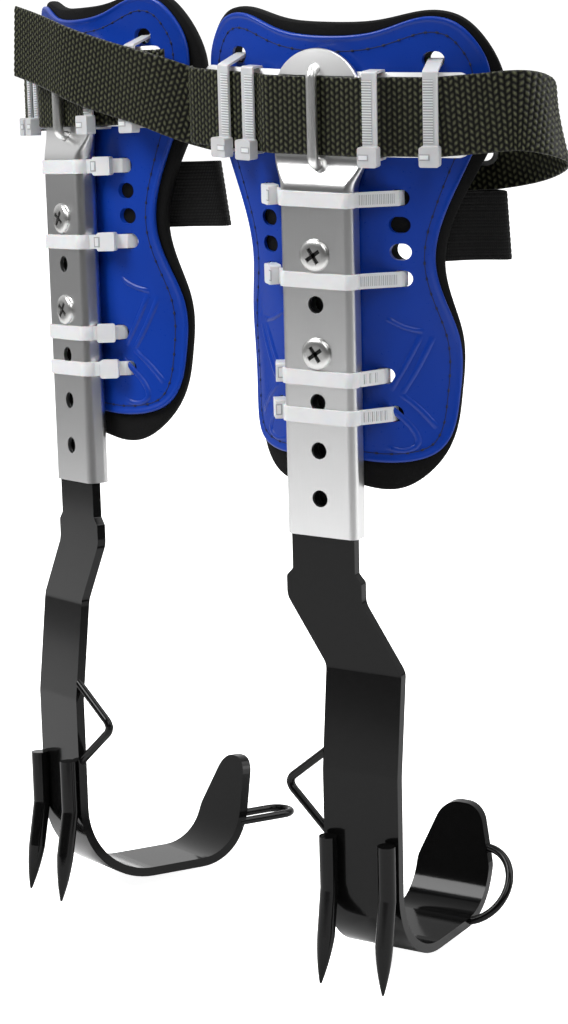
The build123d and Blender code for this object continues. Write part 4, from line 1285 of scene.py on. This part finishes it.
def screw_cross(z, front, back, play):
    """Points and faces of the two arms of a screw's cross, between two depths."""
    cross = ([], [])
    for turn in CROSS_TURNS:
        run = Vector((math.cos(math.radians(turn)), 0.0, math.sin(math.radians(turn))))
        over = Vector((-run.z, 0.0, run.x))
        add_block(cross, Vector((0.0, (front + back) / 2, z)),
                  (run * (CROSS_LONG / 2 - play), over * (CROSS_WIDE / 2 - play),
                   Vector((0.0, (back - front) / 2, 0.0))))
    return cross


def turned_screw(screw, z, place):
    """One screw in place of its plain solid, with a near-black block that paints the shade in its cross."""
    profile = [*SCREW_HEAD, (SCREW_SHANK, SCREW_BACK), (0.0, SCREW_BACK)]
    piece = add_piece(
        screw + "_turned", *turned_piece(profile, z), zinc_steel, "zinc_steel", place, body=screw)
    corners, _ = screw_cross(z, CROSS_TOP, CROSS_LOW, 0.0)
    for start in range(0, len(corners), BLOCK_CORNERS):
        cut_out(piece, new_object("punch", corners[start:start + BLOCK_CORNERS], BLOCK_FACES, place))
    piece.data.set_sharp_from_angle(angle=math.radians(SHARP_ANGLE))
    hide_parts(screw)
    # A near-black block in the bottom of the cross paints the recess's shade.
    floor = screw_cross(z, CROSS_FLOOR, CROSS_LOW, CROSS_PLAY)
    add_piece(screw + "_recess", *floor, painted_shade_recess, "zinc_steel", place, smooth=False, body=screw)


for side_name, place in IRONS.items():
    for level, z in (("upper", 0.0), ("lower", LOWER_SCREW_Z)):
        turned_screw(f"{side_name}_{level}_screw", z, place)
print("turned screws: 4, lower screw at z", round(LOWER_SCREW_Z, 1), "back at", round(SCREW_BACK, 1))

# %% [markdown]
# ## Crowned tube ends
# Above the strap, the tube's flattened end is pressed slightly round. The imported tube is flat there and
# keeps its shape, so a low crowned cap lies on it: a net of columns up to the round edge, raised most in
# the middle.

# %% Crowned ends
END_CENTRE_Z = 76.5
CROWN_FROM_Z = 88.9
CROWN_RISE = 2.0
CROWN_INSET = 0.3
CROWN_SUNK = 0.05
CROWN_COLUMNS = 24
CROWN_ROWS = 12


def crowned_end(side_name, place):
    """The crowned cap on one tube's flattened end."""
    reach = END_WIDTH / 2 - CROWN_INSET
    half_chord = math.sqrt(reach**2 - (CROWN_FROM_Z - END_CENTRE_Z)**2)
    points, faces = [], []
    for i in range(CROWN_COLUMNS + 1):
        x = -half_chord + 2 * half_chord * i / CROWN_COLUMNS
        top = END_CENTRE_Z + math.sqrt(max(reach**2 - x**2, 0.0))
        for j in range(CROWN_ROWS + 1):
            z = CROWN_FROM_Z + (top - CROWN_FROM_Z) * j / CROWN_ROWS
            away = (x**2 + (z - END_CENTRE_Z)**2) / reach**2
            points.append((x, END_FRONT - CROWN_SUNK - CROWN_RISE * max(1 - away, 0.0), z))
    for i in range(CROWN_COLUMNS):
        for j in range(CROWN_ROWS):
            a = i * (CROWN_ROWS + 1) + j
            b = a + CROWN_ROWS + 1
            faces.append((a, a + 1, b + 1, b))
    add_piece(side_name + "_crowned_end", points, faces, pressed_aluminium, "aluminium", place)
    print(side_name, "crowned end faces:", len(faces))


for side_name, place in IRONS.items():
    crowned_end(side_name, place)

# %% [markdown]
# ## Close
# The last line prints the size of the imported model.

# %% Size of the imported model
print("cad box", [round(v, 4) for v in (*cad_low, *cad_high)])
